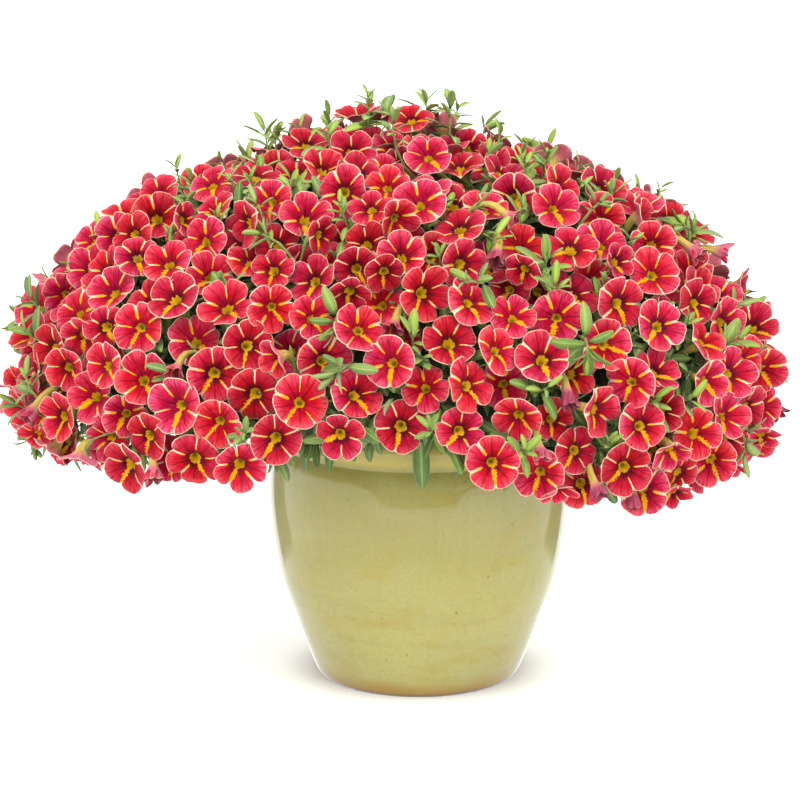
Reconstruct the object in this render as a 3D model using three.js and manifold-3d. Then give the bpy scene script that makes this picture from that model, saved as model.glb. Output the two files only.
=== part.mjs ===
// A calibrachoa in full flower in a glazed planter: planter, potting mix, leafy crown and flowering sprays.
// Millimetres, +Z up, origin at the centre of the planter's foot, the plant's widest side along X.
import * as THREE from "three";
import { mergeVertices } from "three/addons/utils/BufferGeometryUtils.js";
import Module from "manifold-3d";

const wasm = await Module();
wasm.setup();

const CLEARANCE = 0.35; // between pieces that rest against each other
const SEED = 143;

// Planter: a thrown stoneware pot with a rolled rim over a round shoulder
const POT = { foot: 60, belly: 93.5, neck: 88.5, rim: 92, height: 170, wall: 7, floor: 9, sides: 32 };
const ROLL = { out: 6, up: 9 }; // half-sizes of the rolled rim's section
const SOIL = { top: 156, crown: 5, brow: 46, collar: 32, pocket: 10 };
const WALL_HEIGHTS = [POT.floor, 50, 100, SOIL.top]; // where the wall's inside turns

// Mound that the flowers lie in: half an ellipsoid over a shallower one, with a few billows
const MOUND = { centre: [-15, 5, 180], across: 230, deep: 182, up: 153, down: 95 };
// Heights of the lowest flowers, every 30 degrees from +X.
const HEM = [164, 150, 150, 150, 150, 154, 168, 165, 168, 198, 155, 147];
const BILLOWS = [
  { towards: [0, 0.1, 1], rise: 0.14, spread: 0.3 },
  { towards: [0.3, 0, 0.9], rise: -0.07, spread: 0.16 },
  { towards: [-0.4, 0, 0.9], rise: -0.05, spread: 0.14 },
];
const SITES = 356;
// Rounds of pushing apart, how far a site starts off its place, and the share of full room it's given
const SETTLE = { rounds: 60, start: 9, room: 0.9 };

// Flower: five lobes fused into a shallow funnel on a narrow tube
const FLOWER = { smallest: 13.2, largest: 16, lobes: 5, notch: 0.87, throat: 0.33, proud: 6, sunk: 13 };
const TUBE = { neck: 2.4, depth: 7 };
// How a flower leans off the mound's normal, and how far forward of its tube's foot it must face
const FACING = { outward: 0.8, swing: 6, ridge: 0.12, upward: 0.15, lift: 0.5, stray: 0.6, forward: 0.45 };

// Spray: flowers whose tubes meet in one joint, on a stem that stands on the crown
const SPRAY = { count: 46, depth: 26, joint: 5.5, overshoot: 3, stem: 2.6 };

// Crown: the dense leafy middle, with leafy shoots that stand out between the flowers
const CROWN = { depth: 34, rough: 7, root: 9, rings: 8, sides: 20, lip: 106, mouth: 76, neck: 6 };
const OVER_RIM = { lip: 2, mouth: 8 }; // how far the crown's underside clears the rim's top
const SHOOT = { every: 8, room: 8, proud: 7, leaves: 5, stem: 1.3, axil: 2.2 };
const SHOOT_LEAF = { reach: 15, width: 3, widest: 0.55, rise: 8 };
const SWAY = { attempts: 24, turn: 0.25, lean: 8, lift: 6 }; // how a shoot moves to clear the flowers
const RIM_LEAF = { count: 18, length: 34, width: 6.5, thickness: 1.4, arch: 2.5 };
const RIM_LEAF_ROOT = { above: 12, inset: 3, splay: 5 };

const GOLDEN = Math.PI * (3 - Math.sqrt(5));
const EARTH = new THREE.MeshStandardMaterial({ color: 0x3b2a1e, roughness: 0.95 });
const GLAZE = new THREE.MeshStandardMaterial({ color: 0xc3bb78, roughness: 0.15 });
const LEAF = new THREE.MeshStandardMaterial({ color: 0x5b8142, roughness: 0.7 });
const PETAL = new THREE.MeshStandardMaterial({ color: 0xc81e3c, roughness: 0.6 });

// ---- numbers and solids ----

// A fixed fraction from 0 to 1 for each site and purpose.
function noise(site, purpose) {
  let h = Math.imul(site + SEED, 0x9e3779b1) ^ Math.imul(purpose + 1, 0x85ebca6b);
  h = Math.imul(h ^ (h >>> 15), 0x2c1b3c6d);
  h = Math.imul(h ^ (h >>> 12), 0x297a2d39);
  return ((h ^ (h >>> 15)) >>> 0) / 2 ** 32;
}

const vector = (x, y, z) => new THREE.Vector3(x, y, z);

function solidFrom(geometry) {
  const bare = geometry.clone();
  bare.deleteAttribute("normal");
  bare.deleteAttribute("uv");
  const merged = mergeVertices(bare, 1e-4);
  return new wasm.Manifold(
    new wasm.Mesh({
      numProp: 3,
      vertProperties: merged.attributes.position.array,
      triVerts: new Uint32Array(merged.index.array),
    }),
  );
}

function geometryFrom(points, faces) {
  const geometry = new THREE.BufferGeometry().setFromPoints(points);
  return geometry.setIndex(faces);
}

function meshFrom(name, solid, material) {
  const { vertProperties, triVerts } = solid.getMesh();
  const geometry = new THREE.BufferGeometry();
  geometry.setAttribute("position", new THREE.BufferAttribute(vertProperties, 3));
  geometry.setIndex(new THREE.BufferAttribute(triVerts, 1));
  const mesh = new THREE.Mesh(geometry, material);
  mesh.name = name;
  return mesh;
}

// A closed skin from a first point over rings of equal length to a last point, rings anticlockwise
// as seen from the first point.
function loft(first, rings, last) {
  const sides = rings[0].length;
  const points = [first, ...rings.flat(), last];
  const end = points.length - 1;
  const at = (ring, side) => 1 + ring * sides + (side % sides);
  const faces = [];
  for (let side = 0; side < sides; side++) {
    faces.push(0, at(0, side), at(0, side + 1));
    for (let ring = 0; ring + 1 < rings.length; ring++) {
      faces.push(at(ring, side), at(ring + 1, side), at(ring + 1, side + 1));
      faces.push(at(ring, side), at(ring + 1, side + 1), at(ring, side + 1));
    }
    faces.push(end, at(rings.length - 1, side + 1), at(rings.length - 1, side));
  }
  return geometryFrom(points, faces);
}

// The i-th of a number of equal steps round a circle, as an angle.
const step = (i, count) => (i / count) * 2 * Math.PI;

// Two directions square to an axis, turned about it by an angle.
function acrossOf(axis, turn = 0) {
  const upright = Math.abs(axis.z) > 0.9 ? vector(1, 0, 0) : vector(0, 0, 1);
  const u = vector(0, 0, 0).crossVectors(upright, axis).normalize().applyAxisAngle(axis, turn);
  return [u, vector(0, 0, 0).crossVectors(axis, u)];
}

// A point given in a frame: out along u and v by polar radius and angle, and up the axis.
function polar(origin, axis, [u, v], radius, angle, height) {
  return origin
    .clone()
    .addScaledVector(u, radius * Math.cos(angle))
    .addScaledVector(v, radius * Math.sin(angle))
    .addScaledVector(axis, height);
}

// A ring of points round an axis, at a height along it.
function ringOf(count, origin, axis, frame, radius, height) {
  const at = (i) => polar(origin, axis, frame, radius, step(i, count), height);
  return Array.from({ length: count }, (_, i) => at(i));
}

// ---- where the flowers and shoots sit ----

// How far from the top, as an angle, the mound's hem lies at an azimuth.
function droopAt(azimuth) {
  const turn = (azimuth / (2 * Math.PI) + 2) * HEM.length;
  const before = Math.floor(turn);
  const ease = (1 - Math.cos((turn - before) * Math.PI)) / 2;
  const [a, b] = [HEM[before % HEM.length], HEM[(before + 1) % HEM.length]];
  const height = a + (b - a) * ease - MOUND.centre[2];
  return Math.acos(height / (height < 0 ? MOUND.down : MOUND.up));
}

function semiAxes(direction) {
  const axes = vector(MOUND.across, MOUND.deep, direction.z < 0 ? MOUND.down : MOUND.up);
  let swell = 1;
  for (const { towards, rise, spread } of BILLOWS) {
    const off = direction.angleTo(vector(...towards)) / spread;
    swell += rise * Math.exp(-off * off);
  }
  return axes.multiplyScalar(swell);
}

// The mound's surface and outward normal in a direction, and the point at a depth below it.
function moundAt(direction, depth) {
  const axes = semiAxes(direction);
  const normal = direction.clone().divide(axes).normalize();
  const point = direction.clone().multiply(axes).add(vector(...MOUND.centre));
  return { normal, point: point.addScaledVector(normal, -depth) };
}

function directionAt(azimuth, fromTop) {
  return vector(
    Math.sin(fromTop) * Math.cos(azimuth),
    Math.sin(fromTop) * Math.sin(azimuth),
    Math.cos(fromTop),
  );
}

// The direction, brought back above the mound's drooping hem.
function keptOnMound(direction) {
  const azimuth = Math.atan2(direction.y, direction.x);
  const limit = droopAt(azimuth);
  const fromTop = Math.acos(THREE.MathUtils.clamp(direction.z, -1, 1));
  return fromTop <= limit ? direction : directionAt(azimuth, limit);
}

// Sites on a golden-angle spiral over the mound, jittered, then pushed apart until they have room.
function settledSites() {
  const sites = [];
  for (let k = 0; k < SITES; k++) {
    const azimuth = k * GOLDEN;
    const limit = droopAt(azimuth);
    const fromTop = Math.acos(1 - ((k + 0.5) / SITES) * (1 - Math.cos(limit)));
    const leafy = k % SHOOT.every === 3;
    const radius = FLOWER.smallest + (FLOWER.largest - FLOWER.smallest) * noise(k, 0);
    const jitter = vector(noise(k, 1) - 0.5, noise(k, 2) - 0.5, noise(k, 3) - 0.5);
    const direction = directionAt(azimuth, fromTop)
      .addScaledVector(jitter, (2 * SETTLE.start) / MOUND.up)
      .normalize();
    const depth = leafy ? 0 : FLOWER.sunk * noise(k, 4) ** 2 - FLOWER.proud;
    sites.push({ k, leafy, depth, radius: leafy ? SHOOT.room : radius, direction: keptOnMound(direction) });
  }
  for (let round = 0; round < SETTLE.rounds; round++) {
    const points = sites.map((site) => moundAt(site.direction, site.depth).point);
    const pushes = sites.map((site, i) => {
      const push = vector(0, 0, 0);
      sites.forEach((other, j) => {
        const apart = points[i].clone().sub(points[j]);
        const short = SETTLE.room * (site.radius + other.radius) - apart.length();
        if (i !== j && short > 0) push.addScaledVector(apart.normalize(), short / 2);
      });
      return push;
    });
    sites.forEach((site, i) => {
      const axes = semiAxes(site.direction);
      site.direction = keptOnMound(site.direction.clone().add(pushes[i].divide(axes)).normalize());
    });
  }
  return sites;
}

// Which way a flower faces: out from the mound, away from its long ridge, and up to the light.
function facing(site, normal) {
  const stray = vector(noise(site.k, 5) - 0.5, noise(site.k, 6) - 0.5, noise(site.k, 7) - 0.5);
  const outward = FACING.outward * Math.tanh(FACING.swing * (site.direction.y - FACING.ridge));
  return normal
    .clone()
    .add(vector(0, outward, FACING.upward))
    .add(vector(0, 0, FACING.lift * Math.max(0, -site.direction.z)))
    .addScaledVector(stray, 2 * FACING.stray)
    .normalize();
}

// The axis, turned so that the flower faces away from the joint that its tube comes from.
function turnedForward(axis, point, joint) {
  const along = point.clone().sub(joint).normalize();
  return axis.addScaledVector(along, Math.max(0, FACING.forward - along.dot(axis))).normalize();
}

// ---- planter and potting mix ----

// The wall's outer outline from the foot to the rim's top, as [radius, height] points.
function potOutline() {
  const shoulder = new THREE.SplineCurve([
    new THREE.Vector2(POT.foot, 0),
    new THREE.Vector2(POT.foot + 5, 3),
    new THREE.Vector2(78, 38),
    new THREE.Vector2(88.4, 70),
    new THREE.Vector2(POT.belly, 108),
    new THREE.Vector2(92.5, 138),
    new THREE.Vector2(POT.neck, 150),
  ]);
  const centre = [POT.rim - ROLL.out, POT.height - ROLL.up];
  const roll = new THREE.EllipseCurve(...centre, ROLL.out, ROLL.up, -0.7, Math.PI / 2 + 0.6);
  return [new THREE.Vector2(POT.foot, 0), ...shoulder.getPoints(8).slice(1), ...roll.getPoints(4)];
}

function innerRadiusAt(outline, height) {
  const above = outline.findIndex((p) => p.y >= height);
  const [a, b] = [outline[above - 1], outline[above]];
  return a.x + ((b.x - a.x) * (height - a.y)) / (b.y - a.y) - POT.wall;
}

function pot() {
  const outline = potOutline();
  const inside = WALL_HEIGHTS.map((h) => new THREE.Vector2(innerRadiusAt(outline, h), h));
  const profile = [
    new THREE.Vector2(0, 0),
    ...outline,
    ...inside.reverse(),
    new THREE.Vector2(0, POT.floor),
  ];
  return solidFrom(new THREE.LatheGeometry(profile, POT.sides).rotateX(Math.PI / 2));
}

// Potting mix, domed a little, with a pocket that the plant's collar stands in.
function soil() {
  const outline = potOutline();
  const edge = WALL_HEIGHTS.map((h) => {
    const radius = innerRadiusAt(outline, h) * Math.cos(Math.PI / POT.sides) - CLEARANCE;
    return new THREE.Vector2(radius, h);
  });
  edge[0].y += CLEARANCE;
  const profile = [
    new THREE.Vector2(0, POT.floor + CLEARANCE),
    ...edge,
    new THREE.Vector2(SOIL.brow, SOIL.top + SOIL.crown),
    new THREE.Vector2(SOIL.collar, SOIL.top + SOIL.crown),
    new THREE.Vector2(SOIL.collar, SOIL.top - SOIL.pocket),
    new THREE.Vector2(0, SOIL.top - SOIL.pocket),
  ];
  return solidFrom(new THREE.LatheGeometry(profile, POT.sides).rotateX(Math.PI / 2));
}

// ---- leafy crown ----

// The crown's bulk: it stands in the soil's pocket, rises over the rim and fills the mound,
// grown outwards by a given amount.
function crownBulk(grown) {
  const azimuths = Array.from({ length: CROWN.sides }, (_, i) => step(i, CROWN.sides));
  const rings = [];
  for (let ring = 1; ring <= CROWN.rings; ring++) {
    rings.push(
      azimuths.map((azimuth, i) => {
        const direction = directionAt(azimuth, (droopAt(azimuth) * ring) / CROWN.rings);
        const dent = CROWN.rough * (noise(ring * CROWN.sides + i, 50) - 0.5);
        return moundAt(direction, CROWN.depth + dent - grown).point;
      }),
    );
  }
  const level = (radius, z) =>
    azimuths.map((azimuth) => vector(radius * Math.cos(azimuth), radius * Math.sin(azimuth), z));
  const collar = SOIL.collar - CLEARANCE + grown;
  const bottom = SOIL.top - SOIL.pocket + CLEARANCE;
  rings.push(level(CROWN.lip, POT.height + OVER_RIM.lip - grown));
  rings.push(level(CROWN.mouth, POT.height + OVER_RIM.mouth - grown));
  rings.push(level(collar, SOIL.top + SOIL.crown + CROWN.neck));
  rings.push(level(collar, bottom));
  const top = moundAt(vector(0, 0, 1), CROWN.depth - grown).point;
  return solidFrom(loft(top, rings, vector(0, 0, bottom)));
}

// A shoot: a whorl of leaves round the tip of a stem that is rooted in the crown. Each leaf is an
// axil, a left side, a tip and a right side, drawn in to the tip above and to the stem below.
function shoot(site, turn, lift, lean) {
  const { normal, point } = moundAt(site.direction, -SHOOT.proud - lift);
  const frame = acrossOf(normal, turn);
  const place = (radius, angle, height) => polar(point, normal, frame, radius, angle, height);
  const root = moundAt(site.direction, CROWN.depth + CROWN.root).point;
  root.addScaledVector(frame[0], lean[0]).addScaledVector(frame[1], lean[1]);
  const points = [place(0, 0, SHOOT.stem), root];
  const faces = [];
  const corner = (leaf, which) => 2 + (leaf % SHOOT.leaves) * 5 + which;
  for (let leaf = 0; leaf < SHOOT.leaves; leaf++) {
    const angle = step(leaf, SHOOT.leaves);
    const gap = step(leaf - 0.5, SHOOT.leaves);
    const reach = SHOOT_LEAF.reach * (0.8 + 0.4 * noise(site.k, 20 + leaf));
    const rise = SHOOT_LEAF.rise * (0.5 + noise(site.k, 30 + leaf));
    const along = reach * SHOOT_LEAF.widest;
    const half = Math.atan2(SHOOT_LEAF.width, along);
    const side = Math.hypot(SHOOT_LEAF.width, along);
    points.push(place(SHOOT.axil, gap, 0));
    points.push(place(side, angle - half, rise * SHOOT_LEAF.widest));
    points.push(place(reach, angle, rise));
    points.push(place(side, angle + half, rise * SHOOT_LEAF.widest));
    points.push(place(SHOOT.stem, gap, -SHOOT.stem));
    const [axil, left, tip, right, under] = [0, 1, 2, 3, 4].map((which) => corner(leaf, which));
    const [nextAxil, nextUnder] = [corner(leaf + 1, 0), corner(leaf + 1, 4)];
    faces.push(0, axil, left, 0, left, tip, 0, tip, right, 0, right, nextAxil);
    faces.push(left, axil, under, tip, left, under, tip, under, nextUnder);
    faces.push(right, tip, nextUnder, nextAxil, right, nextUnder, nextUnder, under, 1);
  }
  return solidFrom(geometryFrom(points, faces));
}

// A leaf that hangs over the planter's rim from the crown's underside.
function rimLeaf(index) {
  const azimuth = step(index + 0.6 * noise(index, 40), RIM_LEAF.count);
  const out = vector(Math.cos(azimuth), Math.sin(azimuth), 0);
  const across = vector(-Math.sin(azimuth), Math.cos(azimuth), 0);
  const length = RIM_LEAF.length * (0.8 + 0.35 * noise(index, 41));
  const start = POT.height + RIM_LEAF_ROOT.above;
  const root = out.clone().multiplyScalar(CROWN.lip - RIM_LEAF_ROOT.inset).setZ(start);
  const tip = out.clone().multiplyScalar(CROWN.lip + RIM_LEAF_ROOT.splay).setZ(start - length);
  const back = root.clone().lerp(tip, 0.55).addScaledVector(out, RIM_LEAF.arch);
  const front = back.clone().addScaledVector(out, RIM_LEAF.thickness);
  const left = back.clone().addScaledVector(across, -RIM_LEAF.width / 2);
  const right = back.clone().addScaledVector(across, RIM_LEAF.width / 2);
  return solidFrom(loft(front, [[root, left, tip, right]], back));
}

// ---- flowers ----

// One flower from its lobed rim down to its tube's foot in the spray's joint.
function flower(site, joint) {
  const { normal, point } = moundAt(site.direction, site.depth);
  const axis = turnedForward(facing(site, normal), point, joint);
  const frame = acrossOf(axis, step(noise(site.k, 8), 1));
  const corners = 2 * FLOWER.lobes;
  const rim = ringOf(corners, point, axis, frame, site.radius, 0).map((corner, i) =>
    i % 2 ? corner.lerp(point, 1 - FLOWER.notch) : corner,
  );
  const throat = polar(point, axis, frame, 0, 0, -site.radius * FLOWER.throat);
  const neck = ringOf(3, point, axis, frame, TUBE.neck, -TUBE.depth);
  const foot = joint.clone().addScaledVector(joint.clone().sub(point).normalize(), SPRAY.overshoot);
  const rimAt = (i) => 1 + (i % corners);
  const neckAt = (i) => 1 + corners + (i % 3);
  const nearestNeck = (i) => Math.round((i * 3) / corners) % 3;
  const faces = [];
  for (let i = 0; i < corners; i++) {
    const [here, next] = [nearestNeck(i), nearestNeck(i + 1)];
    faces.push(0, rimAt(i), rimAt(i + 1), rimAt(i + 1), rimAt(i), neckAt(here));
    if (here !== next) faces.push(rimAt(i + 1), neckAt(here), neckAt(next));
  }
  for (let i = 0; i < 3; i++) faces.push(neckAt(i + 1), neckAt(i), corners + 4);
  return solidFrom(geometryFrom([throat, ...rim, ...neck, foot], faces));
}

// Sites grouped by the nearest of the points that the sprays' stems rise to.
function sprayGroups(sites) {
  const stems = Array.from({ length: SPRAY.count }, (_, s) => {
    const azimuth = s * GOLDEN + 0.7;
    const limit = droopAt(azimuth);
    const fromTop = Math.acos(1 - ((s + 0.5) / SPRAY.count) * (1 - Math.cos(limit)));
    return moundAt(directionAt(azimuth, fromTop), 0).point;
  });
  const groups = stems.map(() => []);
  for (const site of sites) {
    const { point } = moundAt(site.direction, 0);
    const distances = stems.map((stem) => stem.distanceTo(point));
    groups[distances.indexOf(Math.min(...distances))].push(site);
  }
  return groups.filter((group) => group.length > 0);
}

// A spray: its stem, the joint at the stem's top and the group's flowers, cut where the crown begins.
function spray(group, crownSpace) {
  const direction = vector(0, 0, 0);
  for (const site of group) direction.add(site.direction);
  direction.normalize();
  const { normal, point: joint } = moundAt(direction, SPRAY.depth);
  const root = moundAt(direction, CROWN.depth + CROWN.root).point;
  const knot = new THREE.OctahedronGeometry(SPRAY.joint).translate(...joint.toArray());
  const frame = acrossOf(normal);
  const stemRings = [joint, root].map((end) => ringOf(3, end, normal, frame, SPRAY.stem, 0));
  const stem = loft(joint, stemRings, root);
  const pieces = [solidFrom(knot), solidFrom(stem), ...group.map((site) => flower(site, joint))];
  return wasm.Manifold.union(pieces).subtract(crownSpace);
}

// ---- assembly ----

const sites = settledSites();
const core = crownBulk(0);
const crownSpace = crownBulk(CLEARANCE);
const groups = sprayGroups(sites.filter((site) => !site.leafy));
const sprays = groups.map((group) => spray(group, crownSpace));

const touches = (solid, others) => others.some((other) => !solid.intersect(other).isEmpty());

// Each shoot in the first turn, lift and lean that clears the flowers; one that never does is left out.
function clearShoot(site) {
  for (let attempt = 0; attempt < SWAY.attempts; attempt++) {
    const turn = 2 * noise(site.k, 9) + attempt * SWAY.turn;
    const lean = [10, 11].map((purpose) => {
      return attempt > 0 ? SWAY.lean * (2 * noise(attempt, purpose) - 1) : 0;
    });
    const made = shoot(site, turn, SWAY.lift * Math.floor(attempt / 8), lean);
    if (!touches(made, sprays) && touches(made, [core])) return [made];
  }
  return [];
}

const shoots = sites.filter((site) => site.leafy).flatMap(clearShoot);
const rimLeaves = Array.from({ length: RIM_LEAF.count }, (_, i) => rimLeaf(i));
const crown = wasm.Manifold.union([core, ...shoots, ...rimLeaves]);

const calibrachoa = new THREE.Group();
calibrachoa.add(meshFrom("pot", pot(), GLAZE));
calibrachoa.add(meshFrom("potting_mix", soil(), EARTH));
calibrachoa.add(meshFrom("leafy_crown", crown, LEAF));
sprays.forEach((solid, i) => {
  const name = `spray_${String(i + 1).padStart(2, "0")}`;
  calibrachoa.add(meshFrom(name, solid, PETAL));
});

export default calibrachoa;
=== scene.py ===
"""Calibrachoa in full flower in a glazed pot: the looks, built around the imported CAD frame.

Lengths are in millimetres, as in the part's source, until a mesh is written in metres. Blooms, leaves and
stems are thin closed shells. Each kind has one pattern of faces, and numpy places all its corners at once.
Most of what varies is drawn with noise(number, purpose), where each purpose has a number of its own.
"""

import math
from types import SimpleNamespace as Named

import bpy
import numpy as np
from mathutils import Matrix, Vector


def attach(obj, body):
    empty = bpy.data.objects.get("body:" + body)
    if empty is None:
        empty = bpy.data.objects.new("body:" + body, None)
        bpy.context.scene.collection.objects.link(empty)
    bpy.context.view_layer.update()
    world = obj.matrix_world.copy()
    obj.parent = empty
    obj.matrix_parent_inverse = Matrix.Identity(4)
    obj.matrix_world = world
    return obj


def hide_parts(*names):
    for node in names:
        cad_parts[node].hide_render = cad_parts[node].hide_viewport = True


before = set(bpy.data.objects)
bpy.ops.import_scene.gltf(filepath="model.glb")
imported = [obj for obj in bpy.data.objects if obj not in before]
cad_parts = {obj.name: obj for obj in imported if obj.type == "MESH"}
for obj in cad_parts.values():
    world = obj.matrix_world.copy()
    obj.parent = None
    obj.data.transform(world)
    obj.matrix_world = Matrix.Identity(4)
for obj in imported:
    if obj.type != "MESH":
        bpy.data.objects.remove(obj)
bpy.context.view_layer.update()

MM = 0.001
TAU = 2 * math.pi
GOLDEN = math.pi * (3 - math.sqrt(5))
UP = np.array([0, 0, 1.0])

# ---- dimensions shared with the CAD ----

SEED = 143
# flat is the radius of the pot's underside, and hollow that of its floor inside
POT = Named(foot=60, flat=51, hollow=54, rim=92, height=170, floor=9, columns=160)
# outlines, as the radius and height of each point
OUTSIDE = [(POT.foot, 0), (POT.foot + 5, 3), (78, 38), (88.4, 70), (93.5, 108), (92.5, 138), (88.5, 150)]
INSIDE = [(60, POT.floor + 4), (70, 38), (81, 70), (86.4, 108), (85.4, 138), (81.4, 152)]
UNDER_RIM = (80.4, 160)
ROLL = Named(out=6, up=9, start=-0.7, end=math.pi / 2 + 0.6, steps=14)  # the rim's
SPAN = Named(outside=9, inside=5)  # points on each span of the pot's curves
SOIL = Named(top=156, crown=5, brow=46, edge=80.0, columns=120, rings=34, crumbs=2.4)
SOIL_SIDE = [(79.5, 140), (80, 108), (74, 70), (63.5, 38), (52, 10), (0, 9.6)]
MOUND = Named(centre=np.array([-15, 5, 180]), across=230, deep=182, up=153, down=95)
HEM = np.array([164, 150, 150, 150, 150, 154, 168, 165, 168, 198, 155, 147])  # every 30 degrees from +X
BILLOWS = [([0, 0.1, 1], 0.14, 0.3), ([0.3, 0, 0.9], -0.07, 0.16), ([-0.4, 0, 0.9], -0.05, 0.14)]
SITES = 356
SETTLE = Named(rounds=60, start=9, room=0.9)
FLOWER = Named(smallest=13.2, largest=16, proud=6, sunk=13)
FACING = Named(outward=0.8, swing=6, ridge=0.12, upward=0.15, lift=0.5, forward=0.45)
SPRAY = Named(count=46, turn=0.7, depth=26)
CROWN = Named(depth=34, root=9, lip=106, mouth=76, collar=31.5, shoulder=166.5, foot=148.0)
SHOOT = Named(every=8, room=8, proud=7)
RIM_LEAF = Named(count=18, length=34, above=12, inset=3, splay=5)

# ---- dimensions of what the scene adds ----

BLOOM = Named(swell=1.05, tube=9.0, knee=9.0, stray=0.85, crest=8.0)
LOBES = 5
LOBE_STEPS = np.array([0, 0.06, 0.17, 0.32, 0.5, 0.68, 0.83, 0.94])  # columns of corners across a lobe
# A bloom's rings from the throat's foot over the rim and back to the tube: the number of columns, then the
# reach and the rise as shares of its radius. The tube's: the share of its length, and the radius on a bloom
# with a radius of TUBE.flower.
FACE_RINGS = [
    (10, 0.06, -0.42), (10, 0.12, -0.35), (20, 0.17, -0.26), (40, 0.225, -0.17), (40, 0.35, -0.10),
    (40, 0.53, -0.04), (40, 0.71, 0), (40, 0.86, 0), (40, 0.965, -0.012), (40, 1.0, -0.024),
]
BACK_RINGS = [(40, 0.988, -0.046), (20, 0.8, -0.05), (20, 0.55, -0.08), (20, 0.36, -0.165), (10, 0.25, -0.31)]
TUBE_RINGS = [(0.2, 2.9), (0.45, 2.5), (0.72, 2.1), (1.0, 1.7)]
TUBE = Named(columns=10, flower=15, flute=0.07)
THROAT = Named(foot=0.45, lip=0.12, lean=0.42, squeeze=0.08, mouth=0.42)
LOBE = Named(square=4.5, dimple=0.07, nick=0.018, crease=0.016, groove=0.06, groove_width=0.16, waves=1.3)
FOLD = Named(narrow=0.62, pleat=0.3, twist=0.9, lift=0.9, length=11.0, room=5.0)  # of a closed bloom
EXTRA = Named(
    blooms=110, spacing=15, shallow=5, deep=19, tries=6000, first=1000, turn=0.3, stray=1.0, size=0.95,
)
NODDING = Named(
    blooms=84, spacing=21, shallow=-9, deep=0, tries=3600, first=20000, turn=1.3, stray=1.1, droop=1.1,
    folded=0.25, hem=1.5, top=0.8,
)
LEAF = Named(rows=5, widest=0.58, thickness=0.35)
SEPAL = Named(rows=3, widest=0.5, length=7.5, width=1.9, fold=0.25)
STEM_SIDES = 6
STALK = Named(shares=[0, 0.12, 0.28, 0.42, 0.7, 1], radii=[1.9, 2.0, 1.3, 0.75, 0.7, 0.9])
SPRAY_STEM = Named(shares=[0, 0.25, 0.5, 0.8, 1], radii=[2.0, 1.7, 1.6, 1.9, 2.2], past=1.5, bend=2)
SHOOT_STEM = Named(shares=[0, 0.3, 0.6, 0.85, 1], radii=[1.1, 0.95, 0.8, 0.65, 0.4])
FILLER = Named(leaves=3600, turn=1.9, stray=0.05, shallow=1, deep=30, short=12, long=23, room=3.0)
TIP = Named(
    extra=200, tries=2400, turn=2.6, spacing=13.5, leaves=11, length=26, lowest=2, highest=10, first=3000,
)
WAY = Named(attempts=16, wander=4.0, root=9, parts=6, clear=1.03)  # how a shoot finds its way past blooms
TRAIL = Named(share=0.3, length=24, arch=9, proud=7, below=0.8)  # shoots that arch over the flowers
RIM_LAYERS = [(RIM_LEAF.count, RIM_LEAF.length, 0.0, 0.0), (7, 19, 5.0, 1.0), (7, 15, 9.0, 0.0)]
UNDERSIDE = Named(leaves=700, lip=13.0, hem=0.6)
TUBE_ROOM = 3.4  # how close a leaf may come to a bloom's tube
FACE_SHARE = 0.97  # how much of a bloom's disc the leaves are kept off
CHUNK = 2000  # points tested against all the blooms at once
# the mound's dark middle: a solid painted as shade
SHADE_CORE = Named(sectors=6, steps=10, levels=14, depth=2, rough=7)

# ---- studio, with its places in metres ----

GLARE = 1.75  # how much the studio's light overexposes, so that its floor shows white
# painted light: the floor glows outside the pot's contact shadow, which ends between shade and bright, in
# millimetres; the glow hides the plant's broad shadow there
FLOOR = Named(radius=2.2, glow=0.26, shade=63, bright=92)
CAMERA = Named(place=(-0.0115, -1.77, 0.595), tilt=76.6, lens=131.27, sensor=36)

rng = np.random.default_rng(SEED)


def unit(v):
    return v / np.maximum(np.linalg.norm(v, axis=-1, keepdims=True), 1e-12)


def dot(a, b):
    return (a * b).sum(-1, keepdims=True)


def distances(a, b):
    """How far each point of a is from each point of b."""
    return np.linalg.norm(a[:, None] - b[None], axis=-1)


def turned_to(u, v, angle):
    """The direction at an angle from u towards v."""
    return u * np.cos(angle) + v * np.sin(angle)


def beside(*parts):
    """Arrays or plain numbers side by side, as the last axis of one array."""
    return np.stack(np.broadcast_arrays(*parts), -1)


def circle(angle):
    return beside(np.cos(angle), np.sin(angle), 0.0)


def ease(x, low, high):
    """0 at low, 1 at high and a smooth step between, where high may be less than low."""
    t = np.clip((x - low) / (high - low), 0, 1)
    return t * t * (3 - 2 * t)


# ---- where the flowers and shoots sit, as in the CAD ----


def noise(site, purpose):
    """A fixed fraction from 0 to 1 for each site and purpose."""
    mask = 0xFFFFFFFF
    h = ((np.asarray(site, np.uint64) + SEED) * 0x9E3779B1 & mask) ^ ((purpose + 1) * 0x85EBCA6B & mask)
    h = (h ^ (h >> 15)) * 0x2C1B3C6D & mask
    h = (h ^ (h >> 12)) * 0x297A2D39 & mask
    return (h ^ (h >> 15)) / 2**32


def noises(site, first, count):
    return np.stack([noise(site, first + i) for i in range(count)], -1)


def shift(site, first):
    """A fixed small step for each site, each part of it from -0.5 to 0.5."""
    return noises(site, first, 3) - 0.5


def across_of(axis, turn=0.0):
    """Two directions square to each axis, turned about it by an angle."""
    steep = np.abs(axis[:, 2:]) > 0.9
    u = unit(np.cross(np.where(steep, [1.0, 0, 0], UP), axis))
    turn = np.broadcast_to(turn, len(axis))[:, None]
    u = turned_to(u, np.cross(axis, u), turn)
    return u, np.cross(axis, u)


def droop_at(azimuth):
    """How far from the top, as an angle, the mound's hem lies at an azimuth."""
    turn = (azimuth / TAU + 2) * len(HEM)
    before = np.floor(turn).astype(int)
    blend = (1 - np.cos((turn - before) * np.pi)) / 2
    a, b = HEM[before % len(HEM)], HEM[(before + 1) % len(HEM)]
    height = a + (b - a) * blend - MOUND.centre[2]
    return np.arccos(height / np.where(height < 0, MOUND.down, MOUND.up))


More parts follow.
